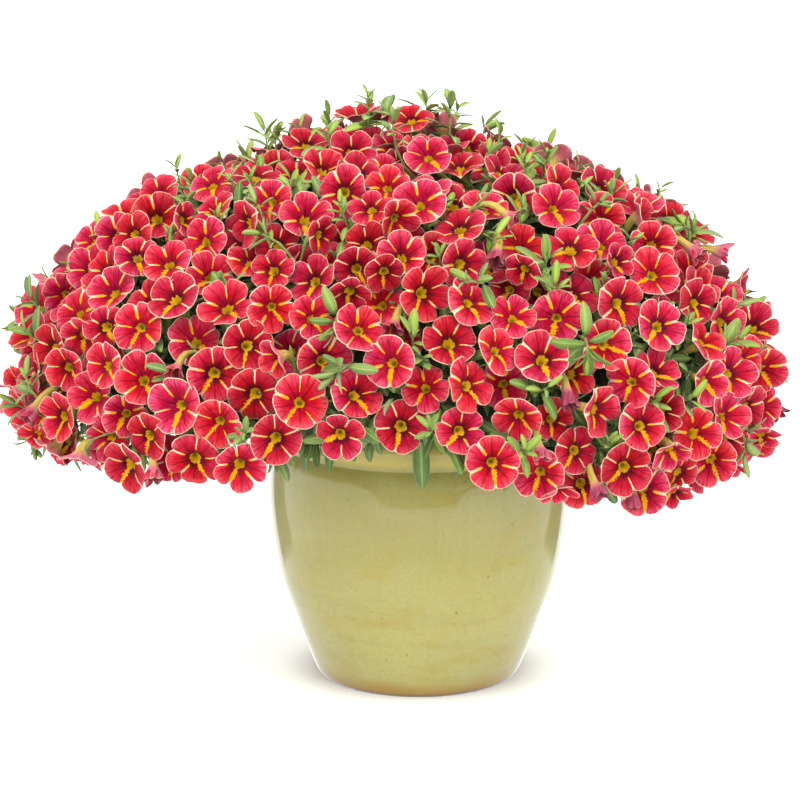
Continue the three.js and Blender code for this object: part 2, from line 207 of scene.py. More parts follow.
def semi_axes(direction):
    up = np.where(direction[:, 2] < 0, MOUND.down, MOUND.up)
    axes = beside(MOUND.across, MOUND.deep, up).astype(float)
    swell = np.ones(len(up))
    for towards, rise, spread in BILLOWS:
        off = np.arccos(np.clip(dot(direction, unit(np.array(towards, float)))[:, 0], -1, 1)) / spread
        swell += rise * np.exp(-off * off)
    return axes * swell[:, None]


def mound_at(direction, depth):
    """The outward normal of the mound in each direction, and the point at a depth below its surface."""
    axes = semi_axes(direction)
    normal = unit(direction / axes)
    depth = np.broadcast_to(depth, len(direction))[:, None]
    return normal, direction * axes + MOUND.centre - normal * depth


def direction_at(azimuth, from_top):
    out = np.sin(from_top)
    return beside(out * np.cos(azimuth), out * np.sin(azimuth), np.cos(from_top))


def kept_on_mound(direction):
    azimuth = np.arctan2(direction[:, 1], direction[:, 0])
    limit = droop_at(azimuth)
    inside = np.arccos(np.clip(direction[:, 2], -1, 1)) <= limit
    return np.where(inside[:, None], direction, direction_at(azimuth, limit))


def spiral(count, turn=0.0):
    """Directions spread evenly over the mound on a golden-angle spiral."""
    k = np.arange(count)
    azimuth = k * GOLDEN + turn
    return direction_at(azimuth, np.arccos(1 - ((k + 0.5) / count) * (1 - np.cos(droop_at(azimuth)))))


def radius_of(k):
    return FLOWER.smallest + (FLOWER.largest - FLOWER.smallest) * noise(k, 0)


def settled_sites():
    """The spiral's sites, jittered, then pushed apart until they have room."""
    k = np.arange(SITES)
    leafy = k % SHOOT.every == 3
    radius = np.where(leafy, SHOOT.room, radius_of(k))
    depth = np.where(leafy, 0, FLOWER.sunk * noise(k, 4) ** 2 - FLOWER.proud)
    direction = kept_on_mound(unit(spiral(SITES) + shift(k, 1) * (2 * SETTLE.start / MOUND.up)))
    for _ in range(SETTLE.rounds):
        point = mound_at(direction, depth)[1]
        apart = point[:, None] - point[None]
        distance = np.linalg.norm(apart, axis=-1)
        np.fill_diagonal(distance, np.inf)
        short = np.maximum(SETTLE.room * (radius[:, None] + radius[None]) - distance, 0)
        push = (apart / distance[..., None] * short[..., None] / 2).sum(1)
        direction = kept_on_mound(unit(direction + push / semi_axes(direction)))
    return Named(k=k, leafy=leafy, depth=depth, radius=radius, direction=direction)


def facing(k, direction, normal, stray):
    """Which way a flower faces: out from the mound, away from its long ridge, and up to the light."""
    lean = np.zeros_like(normal)
    lean[:, 1] = FACING.outward * np.tanh(FACING.swing * (direction[:, 1] - FACING.ridge))
    lean[:, 2] = FACING.upward + FACING.lift * np.maximum(0, -direction[:, 2])
    return unit(normal + lean + shift(k, 5) * 2 * stray)


def turned_forward(axis, point, joint):
    """The axes, turned so that each flower faces away from the joint that its tube comes from."""
    along = unit(point - joint)
    return unit(axis + along * np.maximum(0, FACING.forward - dot(along, axis)))


def nearest_stem(direction, stems):
    point = mound_at(direction, 0)[1]
    return distances(point, stems).argmin(1)


def spray_joints(flowers):
    """The stems with flowers near them, and each spray's joint, its root and the mound's normal there."""
    stems = mound_at(spiral(SPRAY.count, SPRAY.turn), 0)[1]
    nearest = nearest_stem(flowers, stems)
    kept = np.unique(nearest)
    middle = unit(np.stack([flowers[nearest == s].sum(0) for s in kept]))
    normal, joint = mound_at(middle, SPRAY.depth)
    root = mound_at(middle, CROWN.depth + CROWN.root)[1]
    return Named(stem=stems[kept], normal=normal, joint=joint, root=root)


sites = settled_sites()
sprays = spray_joints(sites.direction[~sites.leafy])

# ---- shells: face patterns, and meshes gathered from them ----


def pattern(rings, aspect=1.0):
    """Faces between rings of corners, and between each end ring and a single corner, a pole. A ring has as
    many columns as the ring before it, or half or twice as many.

    ring and column say where each corner of a face lies, where the column of the last one round a ring isn't
    wrapped to 0. place is how far round and along the shell that is, and cell its spot on the bake's map."""
    start = np.cumsum([1, *rings])
    end = len(rings)
    faces = [((-1, i + 0.5), (0, i), (0, i + 1)) for i in range(rings[0])]
    for r, (here, after) in enumerate(zip(rings, rings[1:])):
        n = r + 1
        for i in range(min(here, after)):
            j = 2 * i
            if here == after:
                faces += [((r, i), (n, i), (n, i + 1), (r, i + 1))]
            elif here < after:
                faces += [((r, i), (n, j), (n, j + 1)), ((r, i), (n, j + 1), (r, i + 1))]
                faces += [((r, i + 1), (n, j + 1), (n, j + 2))]
            else:
                faces += [((r, j), (n, i), (r, j + 1)), ((n, i), (n, i + 1), (r, j + 1))]
                faces += [((r, j + 1), (n, i + 1), (r, j + 2))]
    faces += [((end - 1, i), (end, i + 0.5), (end - 1, i + 1)) for i in range(rings[-1])]

    def vertex(ring, column):
        if ring < 0:
            return 0
        return start[-1] if ring == end else start[ring] + column % rings[ring]

    corners = [c for face in faces for c in face]
    ring = np.array([c[0] for c in corners])
    column = np.array([c[1] for c in corners], float)
    columns = np.array(rings)[np.clip(ring, 0, end - 1)]
    place = beside(column / columns, (ring + 1) / (end + 1))
    return Named(
        vertex=np.array([vertex(*c) for c in corners]), counts=np.array([len(face) for face in faces]),
        total=int(start[-1]) + 1, ring=ring, column=column, columns=columns, place=place,
        cell=0.02 + 0.96 * place, island=np.zeros(len(ring), int), island_sizes=[(aspect, 1.0)],
    )


def bloom_pattern():
    """The faces of a bloom, with where each corner lies on the flower: its seam number from 0 to 5, and its
    mark, from 0 in the throat to 1 at the rim, 2 where the tube starts and 3 at the tube's foot."""
    rings = [r[0] for r in FACE_RINGS + BACK_RINGS] + [TUBE.columns] * len(TUBE_RINGS)
    shell = pattern(rings)
    marks = [r[1] for r in FACE_RINGS] + [2 - r[1] for r in BACK_RINGS] + [2 + r[0] for r in TUBE_RINGS]
    mark = np.array([0, *marks, 3.1])[shell.ring + 1]
    seam_at = np.append((np.arange(LOBES)[:, None] + LOBE_STEPS).ravel(), LOBES)
    most = len(seam_at) - 1
    seam = np.interp(most * shell.column / shell.columns, np.arange(most + 1), seam_at)
    shell.place = beside(seam, mark)
    # the front and the back of the flower are two islands of the bake's map
    first = np.append(0, np.cumsum(shell.counts)[:-1])
    front = np.maximum.reduceat(shell.ring, first) < len(FACE_RINGS)
    shell.island = np.repeat(np.where(front, 0, 1), shell.counts)
    reach = np.where(shell.island == 0, mark, (3.15 - mark) / 2.15) * 0.48
    shell.cell = 0.5 + reach[:, None] * circle(seam / LOBES * TAU)[:, :2]
    shell.island_sizes = [(1.0, 0.72), (1.0, 0.28)]
    # each vertex's own ring and seam, for placing it
    shell.vertex_ring = np.repeat(np.arange(-1, len(rings) + 1), [1, *rings, 1])
    shell.vertex_seam = np.concatenate([[0], *(seam_at[:-1:most // n] for n in rings), [0]])
    return shell


def leaf_share(row, rows):
    """How far along a leaf a row of corners lies, closer together towards the blunt tip."""
    return np.sin((row + 1) / (rows + 1) * math.pi / 2)


def leaf_pattern(rows):
    """A thin leaf: its foot, for each row a left edge, a ridge on the face, a right edge and a ridge on the
    back, then its tip. place is how far to the side a corner lies, from -1 to 1, and how far along, with 2
    added on the back."""
    faces = []
    for a, b, back in ((0, 1, 0), (1, 2, 0), (2, 3, 1), (3, 0, 1)):
        faces.append([(-1, 0, back), (0, b, back), (0, a, back)])
        for row in range(rows - 1):
            faces.append([(row, a, back), (row, b, back), (row + 1, b, back), (row + 1, a, back)])
        faces.append([(rows - 1, a, back), (rows - 1, b, back), (rows, 0, back)])
    row, which, back = np.array([c for face in faces for c in face]).T
    side = np.array([-1, 0, 1, 0])[which] * ((row >= 0) & (row < rows))
    along = leaf_share(row, rows)
    broad = 0.5 + 0.46 * side * np.maximum(np.sin(np.pi * along * 0.96 + 0.04) ** 0.6, 0.1)
    return Named(
        vertex=np.maximum(0, 1 + 4 * row + which), counts=np.array([len(face) for face in faces]),
        total=2 + 4 * rows, place=beside(side, along + 2 * back), island=back,
        cell=beside(broad, 0.02 + 0.96 * along), island_sizes=[(0.4, 0.5), (0.4, 0.5)],
    )


def stem_pattern(rings):
    """A round stem closed at both ends. A corner's place is round it and along it, 4 and more on a stem."""
    shell = pattern([STEM_SIDES] * rings, aspect=0.4)
    shell.place = shell.place + [0, 4]
    return shell


def cells_in(count, aspect, low, high):
    """Boxes for a number of equal cells, of about an aspect, in a band right across the bake's map."""
    tall = high - low
    rows = min(range(1, count + 1), key=lambda r: -min((1 / math.ceil(count / r)) / aspect, tall / r))
    columns = math.ceil(count / rows)
    i = np.arange(count)
    inset = 0.02 / columns
    size = np.array([1 / columns, tall / rows])
    return beside((i % columns) * size[0], low + (i // columns) * size[1]) + inset * 0.5, size - inset


def packed(parts, kind=np.float32):
    """The numbers of all parts in a row, as Blender takes them."""
    return np.concatenate([part.ravel() for part in parts]).astype(kind)


class Shells:
    """Closed shells gathered into one mesh, with the maps that its materials read."""

    def __init__(self):
        self.batches = []

    def add(self, shell, points, tone=(0, 0, 0), weight=1.0):
        """points holds each shell's corners in millimetres, and tone three numbers for each shell."""
        if len(points):
            self.batches.append((shell, points, np.broadcast_to(tone, (len(points), 3)), weight))

    def bake_maps(self):
        """For each batch, every face corner's place on the bake's map: a band for each kind of island."""
        areas = [weight * len(points) for _, points, _, weight in self.batches]
        low, maps = 0.0, []
        for (shell, points, _, _), area in zip(self.batches, areas):
            spots = np.zeros((len(points), len(shell.vertex), 2))
            for i, (aspect, share) in enumerate(shell.island_sizes):
                high = low + area * share / sum(areas)
                corner, size = cells_in(len(points), aspect, low, high)
                on = shell.island == i
                spots[:, on] = corner[:, None] + shell.cell[None, on] * size
                low = high
            maps.append(spots)
        return maps

    def mesh(self, name):
        """One mesh of all the shells."""
        first, vertices, corners, counts, places, tones = 0, [], [], [], [], []
        for shell, points, tone, _ in self.batches:
            n = len(points)
            vertices.append(points * MM)
            corners.append(shell.vertex[None] + first + np.arange(n)[:, None] * shell.total)
            counts.append(np.tile(shell.counts, n))
            places.append(np.tile(shell.place, (n, 1)))
            tones.append(np.repeat(tone, shell.total, 0))
            first += n * shell.total
        corners, counts = packed(corners, np.int32), packed(counts, np.int32)
        me = bpy.data.meshes.new(name)
        me.vertices.add(first)
        me.vertices.foreach_set("co", packed(vertices))
        me.loops.add(len(corners))
        me.loops.foreach_set("vertex_index", corners)
        me.polygons.add(len(counts))
        me.polygons.foreach_set("loop_start", np.append(0, np.cumsum(counts)[:-1]).astype(np.int32))
        me.polygons.foreach_set("use_smooth", np.ones(len(counts), bool))
        me.update(calc_edges=True)
        me.validate()
        for label, values in (("surface", places), ("OFBake", self.bake_maps())):
            me.uv_layers.new(name=label, do_init=False).uv.foreach_set("vector", packed(values))
        me.uv_layers["surface"].active_render = True
        me.attributes.new("tone", "FLOAT_VECTOR", "POINT").data.foreach_set("vector", packed(tones))
        return me

    def piece(self, name, material, slot, *stands_for):
        """A visible piece on the part's one body, in place of the CAD nodes that it stands for."""
        me = self.mesh(name)
        me.materials.append(material)
        obj = bpy.data.objects.new(name, me)
        bpy.context.scene.collection.objects.link(obj)
        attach(obj, "root")
        if stands_for:
            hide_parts(*stands_for)
        return obj


# ---- shapes of blooms, leaves and stems ----

BLOOM_SHELL = bloom_pattern()
LEAF_SHELL = leaf_pattern(LEAF.rows)
SEPAL_SHELL = leaf_pattern(SEPAL.rows)
STALK_SHELL = stem_pattern(len(STALK.shares))
STEM_SHELL = stem_pattern(len(SPRAY_STEM.shares))


def along_bend(start, knee, end, shares):
    """Points and directions on the curve that leaves start towards knee and arrives at end from it."""
    a, b, c = start[:, None], knee[:, None], end[:, None]
    t = np.array(shares)[None, :, None]
    point = a * (1 - t) ** 2 + b * 2 * t * (1 - t) + c * t * t
    return point, unit((b - a) * (1 - t) + (c - b) * t)


def bent_frames(u, forward):
    """Directions across a curve, kept close to u along it."""
    u = unit(u[:, None] - dot(u[:, None], forward) * forward)
    return u, np.cross(u, forward)


def bloom_corners(b):
    """Every corner of each bloom in b."""
    rings = np.array([(reach, rise) for _, reach, rise in FACE_RINGS + BACK_RINGS])
    ring = BLOOM_SHELL.vertex_ring
    corners = np.zeros((len(b.point), BLOOM_SHELL.total, 3))
    per = Named(**{key: value[:, None] for key, value in vars(b).items()})  # spread over each bloom's corners

    limb = (ring >= 0) & (ring < len(rings))
    reach, rise = rings[ring[limb]].T
    sunk = np.where(ring[limb] < len(FACE_RINGS), np.maximum(0, -rise - THROAT.lip), 0)
    seam = BLOOM_SHELL.vertex_seam[limb]
    lobe = np.floor(seam).astype(int) % LOBES
    across = seam - np.floor(seam)
    edge = np.abs(2 * across - 1)
    middle = 1 - edge**2
    dimple = np.exp(-(((across - 0.5) / LOBE.dimple) ** 2))
    groove = np.exp(-(((1 - edge) / LOBE.groove_width) ** 2))
    closed = 1 - per.open
    outline = 1 - per.notch * edge**LOBE.square - LOBE.nick * dimple + (b.lobe_size[:, lobe] - 1) * middle
    spread = reach * (1 + (outline - 1) * reach**2) * (1 - FOLD.narrow * closed * reach)
    spread = spread * (1 - FOLD.pleat * closed * np.cos(TAU * across) * reach)
    narrow = np.clip(1 - reach / THROAT.mouth, 0, 1)
    spread = spread * (1 - THROAT.squeeze * np.cos(2 * seam * TAU / LOBES) * narrow)
    angle = per.turn + seam * TAU / LOBES + FOLD.twist * closed * reach
    form = per.dome * middle - LOBE.groove * groove - LOBE.crease * dimple
    rise = rise + reach**1.5 * form + FOLD.lift * closed * reach
    rise = rise + reach**2 * (per.cup + b.lobe_tilt[:, lobe] * middle)
    rise = rise + reach**2 * per.saddle * np.cos(2 * (angle - per.saddle_turn))
    rise = rise + reach**4 * per.ruffle * np.sin(TAU * (LOBE.waves * across + b.lobe_phase[:, lobe]))

    radius = per.radius[..., None]
    out = turned_to(per.u, per.v, angle[..., None])
    place = per.point + radius * (spread[..., None] * out + rise[..., None] * per.axis)
    # the throat leans the way that the tube goes
    lean = unit(b.tube_end - b.tube_knee) + b.axis * dot(b.axis, unit(b.tube_knee - b.tube_end))
    lean = THROAT.lean * lean * per.radius
    corners[:, limb] = place + sunk[None, :, None] * lean[:, None]
    corners[:, 0] = b.point - THROAT.foot * per.radius * b.axis + (THROAT.foot - THROAT.lip) * lean

    share, width = np.array(TUBE_RINGS).T
    centre, forward = along_bend(b.tube_start, b.tube_knee, b.tube_end, share)
    u, v = bent_frames(b.u, forward)
    tube = ring >= len(rings)
    tube[-1] = False
    which = ring[tube] - len(rings)
    turn = BLOOM_SHELL.vertex_seam[tube] * TAU / LOBES
    angle = per.turn + turn
    out = turned_to(u[:, which], v[:, which], angle[..., None])
    flute = 1 + TUBE.flute * np.cos(LOBES * turn)
    thick = width[which] * per.radius / TUBE.flower * flute
    corners[:, tube] = centre[:, which] + out * thick[..., None]
    corners[:, -1] = b.tube_end
    return corners


def leaf_corners(rows, foot, along, face, length, width, curl, fold, widest=LEAF.widest):
    """Leaves from foot in the direction along, facing face, arched back by curl and folded up by fold."""
    n = len(foot)
    along = unit(along)
    face = unit(face - dot(face, along) * along)
    side = np.cross(along, face)[:, None]
    foot, along, face = foot[:, None], along[:, None], face[:, None]
    length, width, curl, fold = (np.broadcast_to(x, n)[:, None, None] for x in (length, width, curl, fold))
    t = leaf_share(np.arange(-1, rows + 1), rows)[:, None]
    middle = foot + along * length * (t - curl**2 * t**3 * 0.35) - face * length * curl * t**2
    half = width / 2 * np.sin(np.pi * t ** (math.log(0.5) / math.log(widest))) ** 0.5
    left, right = (middle + side * half * way + face * fold * half for way in (-1, 1))
    body = np.stack([left, middle, right, middle - face * LEAF.thickness], 2)[:, 1:-1]
    return np.concatenate([middle[:, :1], body.reshape(n, -1, 3), middle[:, -1:]], 1)


def leaves_of(made):
    way = (made.foot, made.along, made.face)
    return leaf_corners(LEAF.rows, *way, made.length, made.width, made.curl, made.fold)


def stem_corners(start, knee, end, stem):
    """Round stems on the bend from start over knee to end, with a radius at each share of the way."""
    centre, forward = along_bend(start, knee, end, stem.shares)
    u, v = bent_frames(across_of(forward[:, 0])[0], forward)
    angle = np.arange(STEM_SIDES)[:, None] * TAU / STEM_SIDES
    out = turned_to(u[:, :, None], v[:, :, None], angle)
    body = centre[:, :, None] + out * np.array(stem.radii)[:, None, None]
    return np.concatenate([centre[:, :1], body.reshape(len(start), -1, 3), centre[:, -1:]], 1)


# ---- the plant's layout ----


def joined(*parts):
    return Named(**{key: np.concatenate([getattr(p, key) for p in parts]) for key in vars(parts[0])})


def chosen(group, keep):
    return Named(**{key: value[keep] for key, value in vars(group).items()})


def scattered(count, turn, stray=0.03):
    """Directions on a spiral, strayed at random."""
    return kept_on_mound(unit(spiral(count, turn) + stray * rng.normal(size=(count, 3))))


def blooms_at(k, direction, depth, radius, stray, opened=1.0, droop=0.0):
    """Blooms facing out from the mound, each turned so that its broad golden stripe hangs lowest.

    Where opened is less than 1 the funnel is folded, and droop turns it down by its own weight."""
    opened = np.broadcast_to(opened, len(k)).astype(float)
    folded = opened < 0.5
    normal, point = mound_at(direction, depth)
    spray = nearest_stem(direction, sprays.stem)
    joint = sprays.joint[spray]
    axis = turned_forward(unit(facing(k, direction, normal, stray) - droop * UP), point, joint)
    u, v = across_of(axis, TAU * noise(k, 8))
    seams = TAU / LOBES * (np.arange(LOBES) + 0.5)
    drop = turned_to(u[:, 2:], v[:, 2:], seams) + 0.75 * noises(k, 61, LOBES)
    knee = point - axis * (BLOOM.knee + 6 * (1 - opened[:, None]))
    towards = joint - knee
    far = np.linalg.norm(towards, axis=1, keepdims=True)
    return Named(
        k=k, point=point, axis=axis, u=u, v=v, turn=seams[drop.argmin(1)], radius=radius, spray=spray,
        open=opened, folded=folded, joint=joint,
        # the flower's own form, as shares of its radius
        notch=0.09 + 0.25 * noise(k, 70) ** 1.6,
        lobe_size=1 + 0.13 * (noises(k, 71, LOBES) - 0.5),
        lobe_phase=noises(k, 76, LOBES),
        lobe_tilt=0.27 * (noises(k, 81, LOBES) - 0.55),
        dome=0.08 + 0.13 * noise(k, 86),
        cup=-0.12 + 0.34 * noise(k, 87) ** 1.8,
        saddle=0.2 * (2 * noise(k, 88) - 1) * noise(k, 89),
        saddle_turn=TAU * noise(k, 90),
        ruffle=0.02 + 0.05 * noise(k, 91),
        tube_start=point - axis * 0.27 * radius[:, None],
        tube_knee=knee, tube_end=knee + towards / np.maximum(far, 1) * np.minimum(BLOOM.tube, 0.55 * far),
        tone=beside(noise(k, 92), noise(k, 93), np.where(folded, 0.15 + 0.75 * noise(k, 98), 0.0)),
    )


def reach_of(b):
    """How far each bloom's limb reaches from its middle, less where it is folded."""
    return b.radius * (0.4 + 0.6 * b.open)


def disc_points(b, share, count=10):
    """Points round each bloom's disc, at a share of its reach."""
    angle = np.arange(count)[:, None] / count * TAU
    out = turned_to(b.u[:, None], b.v[:, None], angle)
    return b.point[:, None] + share * reach_of(b)[:, None, None] * out


def over_discs(points, b):
    """How high each point lies over each bloom's disc, and how far from the bloom's axis, squared."""
    off = points[:, None] - b.point[None]
    height = (off * b.axis[None]).sum(-1)
    return height, (off**2).sum(-1) - height**2


def crossings(start, end, b, share=1.0):
    """Whether the way from each start to its end goes through the disc of each bloom in b."""
    rise = ((start[:, None] - b.point[None]) * b.axis[None]).sum(-1)
    fall = ((end[:, None] - b.point[None]) * b.axis[None]).sum(-1)
    t = rise / np.where(np.abs(rise - fall) < 1e-9, 1e-9, rise - fall)
    met = start[:, None] + np.clip(t, 0, 1)[..., None] * (end - start)[:, None]
    apart = ((met - b.point[None]) ** 2).sum(-1)
    return (rise * fall < 0) & (apart < (share * reach_of(b)) ** 2)


def cuts_any(a, b):
    """Whether each bloom of a cuts through a disc of b, or has its own cut by a tube or stalk of b."""
    found = np.zeros(len(a.point), bool)
    for i, points in enumerate(np.concatenate([disc_points(a, 1.0), disc_points(a, 0.55)], 1)):
        height, apart = over_discs(points, b)
        within = apart < (1.02 * reach_of(b)) ** 2
        found[i] = ((within & (height > 1)).any(0) & (within & (height < -1)).any(0)).any()
    for start, end in ((b.point, b.tube_end), (b.tube_end, b.joint)):
        found |= crossings(start, end, a).any(0)
    return found


def spread_out(points, score, spacing, count):
    """The best-scoring points that keep their distance from each other."""
    taken = []
    for i in np.argsort(-score):
        if len(taken) == count or score[i] < 0:
            break
        if not taken or np.linalg.norm(points[taken] - points[i], axis=1).min() > spacing:
            taken.append(i)
    return np.array(taken)


def places_to_try(kind):
    """Many places on the mound for blooms of a kind: their numbers, directions and depths."""
    direction = scattered(kind.tries, kind.turn)
    k = kind.first + np.arange(kind.tries)
    return k, direction, kind.shallow + (kind.deep - kind.shallow) * noise(k, 4)


def gap_at(point, b):
    """How far each point lies from the nearest bloom, in the bloom's radii."""
    return (distances(point, b.point) / b.radius).min(1)


def extra_blooms(main):
    """Younger blooms deeper in the mound, seen through the gaps, where they cut through no other."""
    k, direction, depth = places_to_try(EXTRA)
    made = blooms_at(k, direction, depth, EXTRA.size * radius_of(k), EXTRA.stray)
    gap = gap_at(mound_at(direction, 0)[1], main)
    gap[cuts_any(made, main)] = -1
    return chosen(made, spread_out(made.point, gap, EXTRA.spacing, EXTRA.blooms))


def nodding_blooms(main):
    """Blooms that nod on longer stalks before the others, seen from the side. Some are folded and fading."""
    k, direction, depth = places_to_try(NODDING)
    opened = np.where(noise(k, 94) < NODDING.folded, 0.3 * noise(k, 99), 0.7 + 0.3 * noise(k, 99))
    radius = np.where(opened < 0.5, 10, 12) + 3 * noise(k, 0)
    made = blooms_at(k, direction, depth, radius, NODDING.stray, opened, NODDING.droop)
    gap = gap_at(made.point, main) + NODDING.hem * ease(direction[:, 2], 0.2, -0.5)
    gap[(direction[:, 2] > NODDING.top) | cuts_any(made, main)] = -1
    return chosen(made, spread_out(made.point, gap, NODDING.spacing, NODDING.blooms))


def all_blooms():
    """The CAD's flowers, a little fuller, then deeper ones that fill the gaps, and nodding ones."""
    own = chosen(sites, ~sites.leafy)
    depth = own.depth + BLOOM.crest * ease(own.direction[:, 2], 0.85, 1.0)
    main = blooms_at(own.k, own.direction, depth, own.radius * BLOOM.swell, BLOOM.stray)
    main = joined(main, extra_blooms(main))
    return joined(main, nodding_blooms(main))


blooms = all_blooms()


def in_chunks(test, points):
    return np.concatenate([test(points[i:i + CHUNK]) for i in range(0, len(points), CHUNK)])


def in_front_of_blooms(points, lowest=-3.0, highest=25.0):
    """Whether each point lies in front of a bloom's face between two heights."""

    def test(some):
        height, apart = over_discs(some, blooms)
        within = apart < (FACE_SHARE * reach_of(blooms)) ** 2
        return (within & (height > lowest) & (height < highest)).any(1)

    return in_chunks(test, points)


def near_tube(points, room=TUBE_ROOM):
    """Whether each point lies close to a bloom's tube, or within a folded bloom."""
    end = blooms.point + blooms.axis * np.where(blooms.folded, FOLD.length, 0.0)[:, None]
    along = end - blooms.tube_end

    def test(some):
        off = some[:, None] - blooms.tube_end[None]
        share = np.clip((off * along).sum(-1) / (along**2).sum(-1), 0, 1)
        apart = np.linalg.norm(off - share[..., None] * along, axis=-1)
        return (apart < room + FOLD.room * ((share > 0.6) & blooms.folded)).any(1)

    return in_chunks(test, points)


def add_calyx_and_stalk(shells, b):
    """Each bloom's five narrow sepals, the cup that they stand on and the stalk down to the spray's joint."""
    forward = -unit(b.tube_end - b.tube_knee)
    points = stem_corners(b.tube_end + forward * 3.2, b.tube_end - forward * 4, b.joint, STALK)
    shells.add(STALK_SHELL, points, beside(noise(b.k, 95), 0.6 + 0.4 * noise(b.k, 96), 1.0), 0.5)
    u, v = bent_frames(b.u, -forward[:, None])
    for i in range(LOBES):
        angle = (i + 0.5) * TAU / LOBES + noise(b.k, 97)[:, None]
        out = turned_to(u[:, 0], v[:, 0], angle)
        foot = b.tube_end + forward * 0.8 + out * 1.6
        along = forward + out * (0.45 + 0.3 * noise(b.k, 100 + i)[:, None])
        length = SEPAL.length + 3 * noise(b.k, 105 + i)
        curl = 0.22 * noise(b.k, 110 + i)
        shape = (length, SEPAL.width, curl, SEPAL.fold, SEPAL.widest)
        points = leaf_corners(SEPAL.rows, foot, along, -out + 0.6 * forward, *shape)
        tone = beside(noise(b.k, 115 + i), 0.55 + 0.4 * noise(b.k, 120 + i), 0.0)
        shells.add(SEPAL_SHELL, points, tone, 0.3)


def filler_leaves():
    """Leaves between and below the blooms, kept off the blooms' faces and tubes."""
    n = FILLER.leaves * 2
    direction = scattered(n, FILLER.turn, FILLER.stray)
    depth = FILLER.shallow + (FILLER.deep - FILLER.shallow) * rng.random(n) ** 1.2
    normal, foot = mound_at(direction, depth)
    tangent = unit(np.cross(normal, rng.normal(size=(n, 3))))
    along = unit(tangent + normal * (0.15 + 0.9 * rng.random((n, 1))))
    length = FILLER.short + (FILLER.long - FILLER.short) * rng.random(n)
    face = unit(normal + 0.5 * rng.normal(size=(n, 3)))
    way = along * length[:, None]
    blocked = crossings(foot, foot + way, blooms).any(1)
    for share in (0.2, 0.4, 0.6, 0.8, 1.0):
        blocked |= in_front_of_blooms(foot + way * share) | near_tube(foot + way * share, FILLER.room)
    made = Named(
        direction=direction, foot=foot, along=along, face=face, length=length,
        width=length * (0.27 + 0.1 * rng.random(n)), curl=0.35 * rng.random(n) - 0.05,
        fold=0.15 + 0.3 * rng.random(n),
        tone=beside(rng.random(n), 0.45 * rng.random(n) * np.clip(1.3 - depth / 20, 0.1, 1), 0.0),
    )
    return chosen(made, np.flatnonzero(~blocked)[:FILLER.leaves])


def shoot_places():
    """Where leafy shoots stand out, and how far: the CAD's, and more in the widest gaps between blooms."""
    own = sites.direction[sites.leafy]
    tries = scattered(TIP.tries, TIP.turn)
    point = mound_at(tries, 0)[1]
    gap = distances(point, blooms.point[blooms.k < SITES]).min(1)
    near = distances(point, mound_at(own, 0)[1]).min(1)
    taken = spread_out(point, np.where(near > TIP.spacing, gap, -1), TIP.spacing, TIP.extra)
    proud = TIP.lowest + (TIP.highest - TIP.lowest) * noise(np.arange(len(taken)), 59) ** 1.5
    return np.concatenate([own, tries[taken]]), np.append(np.full(len(own), SHOOT.proud), proud)


def clear_way(k, direction, proud):
    """Each shoot's root, knee and tip, in the first place tried that goes through no bloom, and whether there
    is one. Some shoots trail: they arch over the flowers beside them, mostly downhill."""
    normal, surface = mound_at(direction, 0)
    trails = ((noise(k, 31) < TRAIL.share) & (direction[:, 2] < TRAIL.below))[:, None]
    found = np.zeros(len(k), bool)
    ways = np.zeros((3, len(k), 3))
    for attempt in range(WAY.attempts):
        away = WAY.wander * min(attempt, 3)
        seed = k + attempt
        tip = mound_at(direction, -proud - 4 * noise(k, 1))[1] + away * shift(seed, 11)
        root = mound_at(direction, CROWN.depth)[1] + (WAY.root + 2 * away) * shift(seed, 2)
        knee = tip - unit(normal + 0.35 * UP + 0.5 * shift(seed, 5)) * TIP.length
        slope = 2.4 * shift(seed, 32) - 0.5 * UP
        slope = unit(slope - dot(slope, normal) * normal) * TRAIL.length * (0.7 + 0.5 * noise(k, 35)[:, None])
        over = surface + normal * (TRAIL.proud + 3 * noise(k, 36)[:, None])
        tip = np.where(trails, over + slope, tip)
        knee = np.where(trails, surface + normal * (TRAIL.proud + TRAIL.arch) + 0.3 * slope, knee)
        way = along_bend(root, knee, tip, np.linspace(0, 1, WAY.parts))[0]
        steps = range(WAY.parts - 1)
        blocked = [crossings(way[:, i], way[:, i + 1], blooms, WAY.clear).any(1) for i in steps]
        new = ~np.any(blocked, 0) & ~found
        ways[:, new] = root[new], knee[new], tip[new]
        found |= new
    return *ways, found


